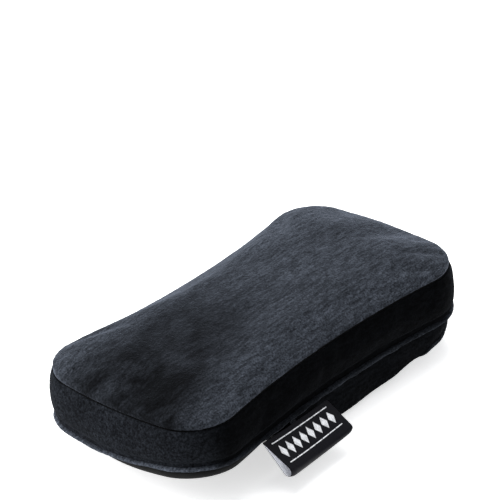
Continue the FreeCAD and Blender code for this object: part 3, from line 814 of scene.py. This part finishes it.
def build_seams():
    """The rolled welt at the bottom edge and the thread line in the top seam's crease, near-black as the
    crease's painted shade.
    """
    distance = np.linspace(0, OUTLINE.length, 1100, endpoint=False)
    plan, normals, across, up = along_outline(distance)
    line = np.stack([distance, distance * 0], 1)
    wander = ripple(line, 23 * MM, 5) * 0.3 * MM
    pinch = 1 + 0.16 * ripple(line, 9 * MM, 6)
    path = np.column_stack([plan + normals * (-0.9 * MM + wander[:, None]),
                            WELT_LOW + 1.4 * MM + wander * 0.6 + rim_lift(plan)])
    welt = sweep("bottom_welt", path, across, up, oval(1.8 * MM, 1.35 * MM, 14), True, pinch)
    nap(welt, "bottom_welt")
    # The welt's lighter plush is a painted highlight on the rolled edge.
    dress(welt, PLUSH_RIM_PAINTED_LIGHT, stands_for=["bottom_seam_welt"])
    build_bottom_roll()
    # The thread's near-black stands in for the shade in the top seam's crease: painted shade.
    path = np.column_stack([plan - normals * 2.2 * MM, np.full(len(plan), TOP_SEAM + 0.1 * MM)])
    seam = sweep("top_seam_thread", path, across, up, oval(0.5 * MM, 0.5 * MM, 8), True)
    dress(seam, CREASE_SHADE_THREAD, stands_for=["top_seam"])


def build_bottom_roll():
    """The bottom cloth's bulge that shows below the welt at the near end."""
    near_corner = OUTLINE.corner_middle(5)
    distance = np.linspace(near_corner - ROLL_BEFORE, near_corner + ROLL_AFTER, 260)
    plan, normals, across, up = along_outline(distance)
    tapered = np.sin(np.linspace(0.02, math.pi - 0.02, len(plan))) ** 0.7
    path = np.column_stack([plan - normals * 2.4 * MM,
                            WELT_LOW + (1.4 - 3.1 * tapered) * MM + rim_lift(plan) * 0.9])
    roll = sweep("bottom_panel_roll", path, across, up, oval(2.8 * MM, 3.0 * MM, 14), False, tapered)
    dress(roll, BASE_CLOTH, stands_for=["bottom_panel"])


def build_foam():
    """The foam block, a little inside the cover."""
    inset = 2.8 * MM
    bottom, top = (corner.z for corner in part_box("foam_core"))
    shoulder = TOP_SEAM - 6 * MM
    flat = patch_points(inset).reshape(-1, 2)
    distance = np.clip(edge_distance(flat) - inset, 0, None)
    crowned = shoulder + (top - shoulder) * (1 - np.exp(-distance / (8 * MM)))
    points = []
    for heights in (np.full(len(flat), bottom), crowned):
        points.extend(np.column_stack([flat, heights]))
    foam = smooth_object("foam_block", points, slab_faces(ALONG + 1, ACROSS + 1))
    dress(foam, FOAM, stands_for=["foam_core"])


# ---- zipped back ----
TAPE_HEM = 1.0 * MM
STITCH_LINE = 2.4 * MM
COIL_PITCH = 1.5 * MM
COIL_STEPS = 12
TAB_LENGTH = 10.4 * MM
TAB_HEIGHT = 12 * MM


def waist_point(radius, x, z):
    """A point on an arc about the back waist's centre. A smaller radius stands further out."""
    turn = math.asin(x / WAIST_ARC)
    return (radius * math.sin(turn), ARC_CENTRE_Y - radius * math.cos(turn), z)


def waist_strip(name, half, low, high, radius_of, columns, rows, thickness):
    """A strip of cloth on the back waist. radius_of gives the radius at a share of its height."""
    points = []
    for share in np.linspace(0, 1, rows):
        for x in np.linspace(-half, half, columns):
            points.append(waist_point(radius_of(share), x, low + (high - low) * share))
    obj = mesh_object(name, points, grid_faces(rows, columns))
    thicken(obj, thickness, 0)
    subdivide(obj)
    return obj


def build_rear():
    """Bands above and below the zipper, with lips rolled in towards the tapes."""
    for name, stands_for, lip_up in (("cover_rear_lower", "rear_band_lower", True),
                                     ("cover_rear_upper", "rear_band_upper", False)):
        low, high = (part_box(stands_for)[0].z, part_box(stands_for)[1].z)

        def radius_of(share, lip_up=lip_up):
            to_lip = 1 - share if lip_up else share
            rolled = 0.7 * MM * math.exp(-to_lip * 9)
            tucked = (SEAM_TUCK - REAR_INSET) * math.exp(-(1 - to_lip) * 14)
            return WAIST_ARC + REAR_INSET + CLOTH / 2 + rolled + tucked

        strip = waist_strip(name, REAR_HALF + 1.2 * MM, low, high, radius_of, 90, 10, CLOTH)
        nap(strip, name)
        dress(strip, PLUSH_SIDE_PAINTED_SHADE, stands_for=[stands_for])
        edge = high - STITCH_LINE if lip_up else low + STITCH_LINE
        xs = np.linspace(-REAR_HALF + 3 * MM, REAR_HALF - 3 * MM, 300)
        path = [waist_point(WAIST_ARC - 0.05 * MM, x, edge) for x in xs]
        outwards = [(-x / WAIST_ARC, math.sqrt(1 - (x / WAIST_ARC) ** 2), 0) for x in xs]
        stitch = stitches(name + "_stitching", path, outwards, 3.0 * MM, 0.24 * MM)
        dress(stitch, THREAD)


def build_zipper():
    """Tapes with a coil on each one; the two coils mesh."""
    for side, tape, teeth in ((-1, "zipper_tape_lower", "zipper_teeth_lower"),
                              (1, "zipper_tape_upper", "zipper_teeth_upper")):
        low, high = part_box(tape)[0].z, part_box(tape)[1].z
        low -= TAPE_HEM if side < 0 else 0
        high += TAPE_HEM if side > 0 else 0
        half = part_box(tape)[1].x
        strip = waist_strip(tape + "_cloth", half, low, high,
                            lambda share: WAIST_ARC + 2.0 * MM, 120, 5, 0.6 * MM)
        dress(strip, ZIP_TAPE, stands_for=[tape])
        build_coil(side, teeth)
    for name in ("zipper_top_stops", "zipper_bottom_stop", "zipper_slider", "zipper_pull"):
        paint_node(name, ENAMEL)
    build_end_tabs()


def build_coil(side, teeth):
    """One side's coil, half a turn out of step with the other side's."""
    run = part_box(teeth)[1].x
    steps = int(2 * run / COIL_PITCH) * COIL_STEPS
    path, outwards, ups = [], [], []
    for step in range(steps + 1):
        phase = 2 * math.pi * step / COIL_STEPS + (math.pi if side > 0 else 0)
        x = -run + 2 * run * step / steps
        z = ZIP_MIDDLE + side * 0.85 * MM + 1.15 * MM * math.cos(phase) * side
        radius = WAIST_ARC + 0.95 * MM + 0.55 * MM * math.sin(phase)
        path.append(Vector(waist_point(radius, x, z)))
    for step in range(steps + 1):
        tangent = (path[min(step + 1, steps)] - path[max(step - 1, 0)]).normalized()
        sideways = tangent.cross(Vector((0, 0.6, 0.8))).normalized()
        outwards.append(np.array(sideways))
        ups.append(np.array(tangent.cross(sideways)))
    coil = sweep(teeth + "_coil", [np.array(p) for p in path], outwards, ups,
                 oval(0.3 * MM, 0.3 * MM, 6), False)
    dress(coil, COIL, stands_for=[teeth])


def build_end_tabs():
    """A patch of cloth behind each end of the zipper's slot, beyond the stop on its side."""
    stops = [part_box(stop) for stop in ("zipper_top_stops", "zipper_bottom_stop")]
    heights = np.linspace(ZIP_MIDDLE - TAB_HEIGHT / 2, ZIP_MIDDLE + TAB_HEIGHT / 2, 8)
    for name, side in (("zipper_end_tab_near", -1), ("zipper_end_tab_far", 1)):
        low, high = next(box for box in stops if (box[0].x + box[1].x) * side > 0)
        first = max(abs(low.x), abs(high.x)) + 0.4 * MM
        points = [waist_point(WAIST_ARC + 1.3 * MM, side * x, z)
                  for z in heights for x in np.linspace(first, first + TAB_LENGTH, 8)]
        tab = mesh_object(name, points, grid_faces(8, 8))
        thicken(tab, 0.7 * MM, 0)
        subdivide(tab)
        dress(tab, PLUSH_SIDE_PAINTED_SHADE)


def paint_node(name, material):
    """Material for a CAD node that stays as it is."""
    obj = bpy.data.objects[name]
    obj.data.materials.clear()
    obj.data.materials.append(material)


# ---- stitching and edges ----

def stitches(name, path, normals, pitch, radius, closed=False):
    """A row of thread stitches: short rounded bars along path, bedded in the cloth."""
    path = np.array(path, float)
    normals = np.array(normals, float)
    if closed:
        path = np.vstack([path, path[:1]])
        normals = np.vstack([normals, normals[:1]])
    lengths = walked(path)
    count = max(int(lengths[-1] / pitch), 1)
    points, faces = [], []
    sides = 6
    turns = np.linspace(0, 2 * math.pi, sides, endpoint=False)
    # a bar's rings: shift in pitches, size and lift in radii
    bars = [(-0.38, 0.35, -0.5), (-0.28, 0.9, 0.2), (0, 1.0, 0.45), (0.28, 0.9, 0.2), (0.38, 0.35, -0.5)]
    for number in range(count):
        middle = (number + 0.5) * lengths[-1] / count

        def along(distance, values):
            return np.array([np.interp(distance, lengths, values[:, k]) for k in range(3)])

        first = len(points)
        ahead = along(middle + 0.3 * pitch, path) - along(middle - 0.3 * pitch, path)
        ahead /= np.linalg.norm(ahead)
        up = along(middle, normals)
        up = up - ahead * up.dot(ahead)
        up /= np.linalg.norm(up)
        side = np.cross(up, ahead)
        for shift, size, lift in bars:
            centre = along(middle + shift * pitch, path) + up * lift * radius
            for turn in turns:
                points.append(centre + radius * size * (math.cos(turn) * side + math.sin(turn) * up))
        faces += tube_faces(len(bars), sides, first)
    return smooth_object(name, points, faces)


def edge_roll(name, path, normals, half_across, half_up, power=0.7, taper=0.0):
    """A rolled or bound edge that follows a sheet's edge; normals are the sheet's, and both
    ends thin out over taper."""
    path = np.array(path, float)
    normals = np.array(normals, float)
    tangents = unit(np.gradient(path, axis=0))
    across = unit(np.cross(normals, tangents))
    up = np.cross(tangents, across)
    lengths = walked(path)
    from_end = np.minimum(lengths, lengths[-1] - lengths) / taper if taper else np.ones(len(path))
    sizes = np.sqrt(np.clip(from_end, 0.03, 1))
    return sweep(name, path, across, up, oval(half_across, half_up, 12, power), False, sizes)


# ---- wrap ----
WRAP_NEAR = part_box("wrap_wall_front")[0].x
WRAP_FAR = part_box("wrap_wall_front")[1].x + 2 * MM
FLAP_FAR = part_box("inner_flap_binding")[1].x
WRAP_CLOTH = 1.8 * MM
WRAP_INSET = 3.0 * MM
RISE_FROM = 45 * MM
FOLD = 3.2 * MM
WALL_ROWS = 12
FOLD_ROWS = 6
FLAP_ROWS = 26
FLAP_COLUMNS = 58
HEM = (1.5 * MM, 1.3 * MM)
SIDE_IN = 1.6 * MM


class Wrap:
    """One side of the wrap: a wall that hangs from the bottom seam, folds under and runs on
    as a flap. side is -1 for the label side and 1 for the zipper side, and flap_end is how far
    out on that side the flap's free edge is (below 0 past the middle). The fold hangs
    fold_sag below the flap."""

    def __init__(self, side, flap_z, flap_end, fold_sag, seed):
        self.side = side
        self.fold_sag = fold_sag
        self.flap_z = flap_z
        self.flap_end = flap_end
        self.seed = seed
        near = np.linspace(WRAP_NEAR + 0.5 * MM, FLAP_FAR - 0.5 * MM, FLAP_COLUMNS)
        far = np.linspace(FLAP_FAR - 0.5 * MM, WRAP_FAR, 22)[1:]
        self.xs = np.concatenate([near, far])
        self.top = PANEL_LOW + 0.9 * MM
        drop = self.top - (flap_z + FOLD) - 1.2 * MM
        reach = WRAP_FAR - RISE_FROM
        self.radius = (reach ** 2 + drop ** 2) / (2 * drop)
        table, _ = OUTLINE.at(np.linspace(OUTLINE.starts[5] + 1e-6, OUTLINE.starts[8], 4000))
        order = np.argsort(table[:, 0])
        self.outline_y = np.interp(self.xs, table[order, 0], -table[order, 1])

    def rise(self):
        """How far the wall's low edge climbs, on an arc, towards the far end."""
        past = np.clip(self.xs - RISE_FROM, 0, None)
        return self.radius - np.sqrt(self.radius ** 2 - past ** 2)

    def rows(self):
        """Rows of points from the seam down the wall, round the fold and along the flap."""
        xs = self.xs
        rise = self.rise()
        free = ease((xs - FLAP_FAR + 8 * MM) / (14 * MM))
        wall_y = self.outline_y - WRAP_INSET
        slack = 1 / (1 + np.exp((xs - 44 * MM) / (7 * MM)))
        low = self.flap_z + FOLD + rise - self.fold_sag * slack
        tuck = np.clip((xs - 70 * MM) / (42 * MM), 0, 1) ** 2 * 3.5 * MM
        line = np.stack([xs, xs * 0], 1)
        sway = ripple(line, 34 * MM, self.seed)
        flutter = ripple(line, 13 * MM, self.seed + 1)
        rows = []
        for t in np.linspace(0, 1, WALL_ROWS):
            bulge = 1.3 * MM * math.sin(math.pi * t * 0.8) + 0.7 * MM * sway * t
            z = self.top + (low - self.top) * t
            rows.append(np.column_stack([xs, wall_y + bulge - tuck * t, z]))
        start = rows[-1]
        ripple_z = 0.5 * MM * flutter * free
        for turn in np.linspace(0, math.pi / 2, FOLD_ROWS + 1)[1:]:
            inward = FOLD * (1 - math.cos(turn)) * (1 - free)
            down = FOLD * (math.sin(turn) * (1 - free) + turn / (math.pi / 2) * free)
            share = turn / (math.pi / 2)
            rows.append(np.column_stack([xs, start[:, 1] - inward, start[:, 2] - down + ripple_z * share]))
        self.wall_rows = len(rows)
        base = rows[-1]
        for share in np.linspace(0, 1, FLAP_ROWS + 1)[1:]:
            y = base[:, 1] + (self.flap_end - base[:, 1]) * share
            gone = base[:, 1] - y
            settle = np.exp(-gone / (8 * MM))
            wave = 0.12 * MM * ripple(np.column_stack([xs, y]), 40 * MM, self.seed + 2)
            z = self.flap_z + (base[:, 2] - self.flap_z) * settle + wave * (1 - settle)
            rows.append(np.column_stack([xs, y, z]))
        for row in rows:
            row[:, 1] *= self.side
        return rows

    def build(self, name, body, stands_for, binding_node):
        """The cloth of the wall and flap in one sheet, with its edges finished."""
        rows = self.rows()
        columns = len(self.xs)
        points = [p for row in rows[:self.wall_rows] for p in row]
        faces = grid_faces(self.wall_rows, columns)
        shared = (self.wall_rows - 1) * columns
        first = len(points)
        previous = list(range(shared, shared + FLAP_COLUMNS))
        for row in rows[self.wall_rows:]:
            here = list(range(first, first + FLAP_COLUMNS))
            points += list(row[:FLAP_COLUMNS])
            first += FLAP_COLUMNS
            for i in range(FLAP_COLUMNS - 1):
                faces.append((previous[i], previous[i + 1], here[i + 1], here[i]))
            previous = here
        cloth = mesh_object(name, points, faces)
        thicken(cloth, WRAP_CLOTH, 0)
        subdivide(cloth)
        nap(cloth, name)
        # The wrap's darker plush is painted shade under the pad.
        dress(cloth, PLUSH_WRAP_PAINTED_SHADE, body=None, stands_for=stands_for)
        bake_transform(cloth)
        edging = self.bind(name, body, rows, binding_node)

    def bind(self, name, body, rows, binding_node):
        """Plush hem on the wall's free edges and tape on the flap's."""
        outwards = np.array([0, self.side, 0.0])
        last = self.wall_rows - 1
        tip = [rows[last][i] for i in range(FLAP_COLUMNS - 2, len(self.xs))]
        far = edge_roll(name + "_hem_far", tip, [outwards] * len(tip), *HEM, taper=14 * MM)
        near_path = [row[0] for row in rows[:WALL_ROWS - 1]]
        near = edge_roll(name + "_hem_near", near_path, [outwards] * len(near_path), *HEM, taper=3 * MM)
        # The hems take the plush's lit copy: a painted highlight on their rolled edges.
        for hem in (far, near):
            dress(hem, PLUSH_RIM_PAINTED_LIGHT)
        flap = rows[self.wall_rows + 1:]
        inwards = np.array([SIDE_IN, 0, 0])
        near_edge = [row[0] + inwards for row in flap]
        far_edge = [row[FLAP_COLUMNS - 1] - inwards for row in flap]
        front = [flap[-1][i] for i in range(1, FLAP_COLUMNS - 1)]
        toward = np.array([0, (flap[-1][0] - flap[-2][0])[1], 0])
        toward /= np.linalg.norm(toward)
        front = [p - toward * SIDE_IN for p in front]
        path = round_corners(near_edge, front, far_edge, 8 * MM)
        tape = edge_roll(name + "_binding", path, [(0, 0, 1)] * len(path), 2.6 * MM, 1.3 * MM, 0.55)
        dress(tape, BINDING, body=body, stands_for=[binding_node])
        pieces = [far, near, tape]
        inner = inset_path(path, 1.5 * MM)
        for up, label in ((1, "_stitching_upper"), (-1, "_stitching_lower")):
            raised = [p + np.array([0, 0, up * HEM[1]]) for p in inner]
            sewn = stitches(name + label, raised, [(0, 0, up)] * len(raised), 2.8 * MM, 0.22 * MM)
            dress(sewn, THREAD, body=body)
            pieces.append(sewn)
        return pieces


def round_corners(first, middle, last, radius):
    """One path from three runs that meet square, with its two corners rounded, evenly spaced."""
    path = np.array(list(first) + list(middle) + list(last)[::-1])
    lengths = walked(path)
    steps = np.linspace(0, lengths[-1], 240)
    even = np.column_stack([np.interp(steps, lengths, path[:, k]) for k in range(3)])
    reach = int(radius / (steps[1] - steps[0]))
    window = np.ones(2 * reach + 1) / (2 * reach + 1)
    before = even[:1] + (even[:1] - even[1:2]) * np.arange(reach, 0, -1)[:, None]
    after = even[-1:] + (even[-1:] - even[-2:-1]) * np.arange(1, reach + 1)[:, None]
    padded = np.vstack([before, even, after])
    return list(np.column_stack([np.convolve(padded[:, k], window, "valid") for k in range(3)]))


def inset_path(path, distance):
    """The path moved towards the flap's middle in plan."""
    path = np.array(path)
    tangents = np.gradient(path, axis=0)
    tangents[:, 2] = 0
    tangents = unit(tangents)
    normals = np.column_stack([-tangents[:, 1], tangents[:, 0], np.zeros(len(path))])
    middle = path.mean(axis=0)
    sign = np.sign(((middle - path) * normals).sum(axis=1).mean())
    return list(path + normals * sign * distance)


def build_wrap():
    """The outer side comes round from the back, and the inner side from the label side."""
    outer_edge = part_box("outer_flap_binding")[0].y + SIDE_IN
    inner_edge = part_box("inner_flap_binding")[1].y - SIDE_IN
    inner_z = (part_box("inner_flap")[0].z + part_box("inner_flap")[1].z) / 2
    outer = Wrap(1, 1.45 * MM, outer_edge, 0.0, 21)
    inner = Wrap(-1, inner_z, -inner_edge, 3.4 * MM, 31)
    outer.build("wrap_outer", "outer_flap", ["wrap_wall_back", "outer_flap"], "outer_flap_binding")
    inner.build("wrap_inner", "inner_flap", ["wrap_wall_front", "inner_flap"], "inner_flap_binding")


# ---- label ----
LABEL_LOW, LABEL_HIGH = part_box("label")
LABEL_ROOT = (LABEL_HIGH.y, LABEL_HIGH.z)
LABEL_DROOP = math.radians(36)
LABEL_REACH = 24 * MM
LABEL_NOSE = 2.5 * MM
LABEL_CLOTH = 0.4 * MM
LABEL_OPEN = 0.3 * MM


def label_half_gap(x, along):
    """Half the gap between the folded label's two layers; the near side stands open most."""
    across = (x - LABEL_LOW.x) / (LABEL_HIGH.x - LABEL_LOW.x)
    nose = LABEL_NOSE * (1.4 - 0.7 * across)
    share = np.clip(along / (LABEL_REACH - LABEL_NOSE), 0, 1)
    return LABEL_OPEN + (nose - LABEL_OPEN) * share ** 1.1


def label_point(x, around, lift=0.0):
    """A point on the label: around runs from 0 at the seam over the top layer to 0.5 at the
    fold and back under it to 1."""
    straight = LABEL_REACH - LABEL_NOSE
    nose = label_half_gap(x, straight)
    arc = math.pi * nose
    walked = around * (2 * straight + arc)
    if walked <= straight:
        along, high, turn = walked, label_half_gap(x, walked), math.pi / 2
    elif walked <= straight + arc:
        turn = math.pi / 2 - (walked - straight) / nose
        along, high = straight + nose * math.cos(turn), nose * math.sin(turn)
    else:
        along, turn = 2 * straight + arc - walked, -math.pi / 2
        high = -label_half_gap(x, along)
    along += lift * math.cos(turn)
    high += lift * math.sin(turn)
    corner = max(0.0, 1 - min(x - LABEL_LOW.x, LABEL_HIGH.x - x) / (4 * MM))
    along *= 1 - 0.05 * corner ** 2
    lean = LABEL_DROOP + 0.10 * math.sin((x - LABEL_LOW.x) / (56 * MM) * math.pi) - 0.05
    sag = 0.8 * MM * (along / LABEL_REACH) ** 2 * math.sin(x / (11 * MM))
    high += sag * 0.35
    lifted = float(rim_lift(np.array([[x, LABEL_ROOT[0]]]))[0]) * (1 - along / LABEL_REACH)
    return (x, LABEL_ROOT[0] - along * math.cos(lean) - high * math.sin(lean),
            LABEL_ROOT[1] - along * math.sin(lean) + high * math.cos(lean) + lifted)


def build_label():
    """Satin ribbon folded once, black outside and pale inside, with a woven row of diamonds."""
    xs = np.linspace(LABEL_LOW.x, LABEL_HIGH.x, 40)
    rounds = np.linspace(0, 1, 64)
    points = [label_point(x, around) for around in rounds for x in xs]
    ribbon = mesh_object("label_ribbon", points, grid_faces(len(rounds), len(xs)))
    # a point between the label's two layers, to tell which way its faces look
    middle = Vector((0, LABEL_ROOT[0] - 14 * MM, LABEL_ROOT[1] - 10 * MM))
    face = ribbon.data.polygons[20]
    if face.normal.dot(Vector((0, face.center.y, face.center.z)) - middle) < 0:
        ribbon.data.flip_normals()
    solid = ribbon.modifiers.new("thickness", "SOLIDIFY")
    solid.thickness = LABEL_CLOTH
    solid.offset = -1
    solid.material_offset = 1
    ribbon.data.materials.append(SATIN)
    ribbon.data.materials.append(SATIN_BACK)
    apply_modifiers(ribbon)
    subdivide(ribbon)
    dress(ribbon, None, body="label", stands_for=["label"])
    motif = build_motif()


def build_motif():
    """Eight satin-stitched diamonds between two thin lines on the label's top layer."""
    points, faces = [], []
    count, steps = 8, 5

    def patch(corners):
        """A low raised quad; corners are (x, around)."""
        first = len(points)
        shares = [step / steps for step in range(steps + 1)]
        for lift in (-0.1 * MM, 0.16 * MM):
            for u in shares:
                for v in shares:
                    weights = ((1 - u) * (1 - v), u * (1 - v), u * v, (1 - u) * v)
                    x = sum(w * c[0] for w, c in zip(weights, corners))
                    around = sum(w * c[1] for w, c in zip(weights, corners))
                    points.append(label_point(x, around, lift))
        faces.extend(slab_faces(steps + 1, steps + 1, first))

    middle, wide, tall = 0.20, 2.3 * MM, 0.085
    for number in range(count):
        x = LABEL_LOW.x + (7 + 6 * number) * MM
        patch([(x - wide, middle), (x, middle - tall), (x + wide, middle), (x, middle + tall)])
    dash, thin = 5.6 * MM, 0.006
    for line in (0.065, 0.335):
        for number in range(count):
            x = LABEL_LOW.x + (4.2 + 6 * number) * MM
            patch([(x, line - thin), (x + dash, line - thin), (x + dash, line + thin), (x, line + thin)])
    motif = smooth_object("label_motif", points, faces)
    return dress(motif, SATIN_STRIPE, body="label")


# ---- hook and loop ----
HOOK_BASE = 2.2 * MM
LOOP_BASE = 5.0 * MM
PLATE = 0.6 * MM
PLATE_CORNER = 4 * MM
FIELD_INSET = 3.4 * MM
THREAD_INSET = 1.7 * MM
# One hook's and one loop's line, as (sideways, height) points.
HOOK_LINE = [(0, 0), (0, 0.4 * MM), (0.08 * MM, 0.58 * MM), (0.25 * MM, 0.66 * MM), (0.4 * MM, 0.5 * MM)]
LOOP_LINE = [(-0.35 * MM, 0), (-0.38 * MM, 0.35 * MM), (0, 0.6 * MM), (0.38 * MM, 0.35 * MM),
             (0.35 * MM, 0)]


def rounded_rectangle(low, high, radius, inset=0.0, corner_steps=8):
    """Points round a rounded rectangle in plan, moved inwards by inset."""
    points = []
    for number, (sx, sy) in enumerate(((1, 1), (-1, 1), (-1, -1), (1, -1))):
        middle_x = (high[0] if sx > 0 else low[0]) - sx * radius
        middle_y = (high[1] if sy > 0 else low[1]) - sy * radius
        for step in range(corner_steps + 1):
            turn = math.pi / 2 * (number + step / corner_steps)
            points.append((middle_x + (radius - inset) * math.cos(turn),
                           middle_y + (radius - inset) * math.sin(turn)))
    return points


def patch_plate(name, low, high, radius, bottom, top):
    """A thin woven base with softened edges."""
    rows = [(1.0 * MM, bottom), (0.15 * MM, bottom + 0.1 * MM), (0.0, (bottom + top) / 2),
            (0.15 * MM, top - 0.1 * MM), (1.0 * MM, top)]
    points = [(x, y, z) for inset, z in rows for x, y in rounded_rectangle(low, high, radius, inset)]
    plate = mesh_object(name, points, tube_faces(len(rows), len(points) // len(rows)))
    fix_normals(plate)
    return plate


def tile_bristles(name, low, high, level, up, shape, pitch, thick, seed):
    """Copies of one small bent wire over a rectangle. shape is its (sideways, height) line."""
    random = np.random.default_rng(seed)
    xs = np.arange(low[0], high[0], pitch)
    ys = np.arange(low[1], high[1], pitch)
    points, faces = [], []
    sides = 4
    for row, y in enumerate(ys):
        for x in xs + (pitch / 2 if row % 2 else 0):
            turn = random.normal(0, 0.5) + (math.pi if row % 2 else 0)
            cosine, sine = math.cos(turn), math.sin(turn)
            first = len(points)
            for sideways, height in shape:
                for corner in range(sides):
                    angle = math.pi / 4 + corner * math.pi / 2
                    a = sideways + thick * math.cos(angle)
                    b = thick * math.sin(angle)
                    points.append((x + a * cosine - b * sine, y + a * sine + b * cosine,
                                   level + up * (height + 0.4 * thick * math.cos(angle))))
            faces += tube_faces(len(shape), sides, first)
    obj = mesh_object(name, points, faces)
    fix_normals(obj)
    return obj


def build_patches():
    """Hooks on the outer flap, facing up; loops under the inner flap, facing down."""
    low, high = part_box("hook_patch")
    inside = ((low.x + FIELD_INSET, low.y + FIELD_INSET), (high.x - FIELD_INSET, high.y - FIELD_INSET))
    ring = rounded_rectangle(low, high, PLATE_CORNER, THREAD_INSET)
    for kind, cloth, body, material, base, up, line, pitch, thick in (
            ("hook", "wrap_outer", "outer_flap", HOOKS, HOOK_BASE, 1, HOOK_LINE, 1.7 * MM, 0.11 * MM),
            ("loop", "wrap_inner", "inner_flap", LOOPS, LOOP_BASE, -1, LOOP_LINE, 1.5 * MM, 0.09 * MM)):
        name = kind + "_patch"
        level = base + up * PLATE
        plate = patch_plate(name + "_base", low, high, PLATE_CORNER, *sorted((base, level)))
        dress(plate, material, body=body, stands_for=[name])
        field = tile_bristles(name + "_field", *inside, level, up, line, pitch, thick, 7)
        dress(field, material, body=body)
        path = [(x, y, level) for x, y in ring]
        sewn = stitches(name + "_thread", path, [(0, 0, up)] * len(path), 2.6 * MM, 0.24 * MM, True)
        dress(sewn, THREAD, body=body, stands_for=[name + "_stitching"])


# ---- stage, light and camera ----

def build_stage():
    """A pale floor and a soft, even sky."""
    bpy.context.scene.view_settings.view_transform = "Standard"
    floor = mesh_object("floor", [(-6, -6, 0), (6, -6, 0), (6, 6, 0), (-6, 6, 0)], [(0, 1, 2, 3)])
    material, _, shader = new_material("pale_floor")
    shader.inputs["Base Color"].default_value = (0.88, 0.88, 0.88, 1)
    shader.inputs["Emission Color"].default_value = (1, 1, 1, 1)
    shader.inputs["Emission Strength"].default_value = 0.6
    shader.inputs["Roughness"].default_value = 0.8
    floor.data.materials.append(material)
    world = bpy.data.worlds.new("studio")
    bpy.context.scene.world = world
    world.use_nodes = True
    world.node_tree.nodes["Background"].inputs["Color"].default_value = (0.95, 0.97, 1.0, 1)
    world.node_tree.nodes["Background"].inputs["Strength"].default_value = 0.6


def add_light(name, place, size, power):
    """A rectangular lamp that points at the origin."""
    data = bpy.data.lights.new(name, "AREA")
    data.shape = "RECTANGLE"
    data.size, data.size_y = size
    data.energy = power
    lamp = bpy.data.objects.new(name, data)
    bpy.context.scene.collection.objects.link(lamp)
    lamp.location = place
    lamp.rotation_mode = "QUATERNION"
    lamp.rotation_quaternion = (-Vector(place)).to_track_quat("-Z", "Y")


CAMERA_AZIMUTH = -46.8
CAMERA_ELEVATION = 29.3
CAMERA_ROLL = -4.0
CAMERA_DISTANCE = 1.511
CAMERA_LENS = 184.2
CAMERA_AIM = (-0.0067, 0.0848)


def build_camera():
    """The camera's axes from its azimuth, elevation and roll; the aim is how far right of and
    above the origin its middle looks."""
    azimuth = math.radians(CAMERA_AZIMUTH)
    elevation = math.radians(CAMERA_ELEVATION)
    roll = math.radians(CAMERA_ROLL)
    back = Vector((math.sin(azimuth) * math.cos(elevation), -math.cos(azimuth) * math.cos(elevation),
                   math.sin(elevation)))
    right = Vector((0, 0, 1)).cross(back).normalized()
    up = back.cross(right)
    tilted_right = math.cos(roll) * right + math.sin(roll) * up
    tilted_up = math.cos(roll) * up - math.sin(roll) * right
    aim = CAMERA_AIM[0] * tilted_right + CAMERA_AIM[1] * tilted_up
    data = bpy.data.cameras.new("camera")
    data.lens = CAMERA_LENS
    data.sensor_width = 36
    data.clip_end = 50
    camera = bpy.data.objects.new("camera", data)
    bpy.context.scene.collection.objects.link(camera)
    place = Matrix((tilted_right, tilted_up, back)).transposed().to_4x4()
    place.translation = aim + back * CAMERA_DISTANCE
    camera.matrix_world = place
    bpy.context.scene.camera = camera


build_cover()
build_seams()
build_foam()
build_rear()
build_zipper()
build_wrap()
build_label()
build_patches()
build_stage()
add_light("overhead", (0.2, 0.5, 1.6), (1.6, 1.6), 34)
add_light("behind_left", (-1.1, 1.2, 0.9), (0.8, 0.8), 26)
build_camera()
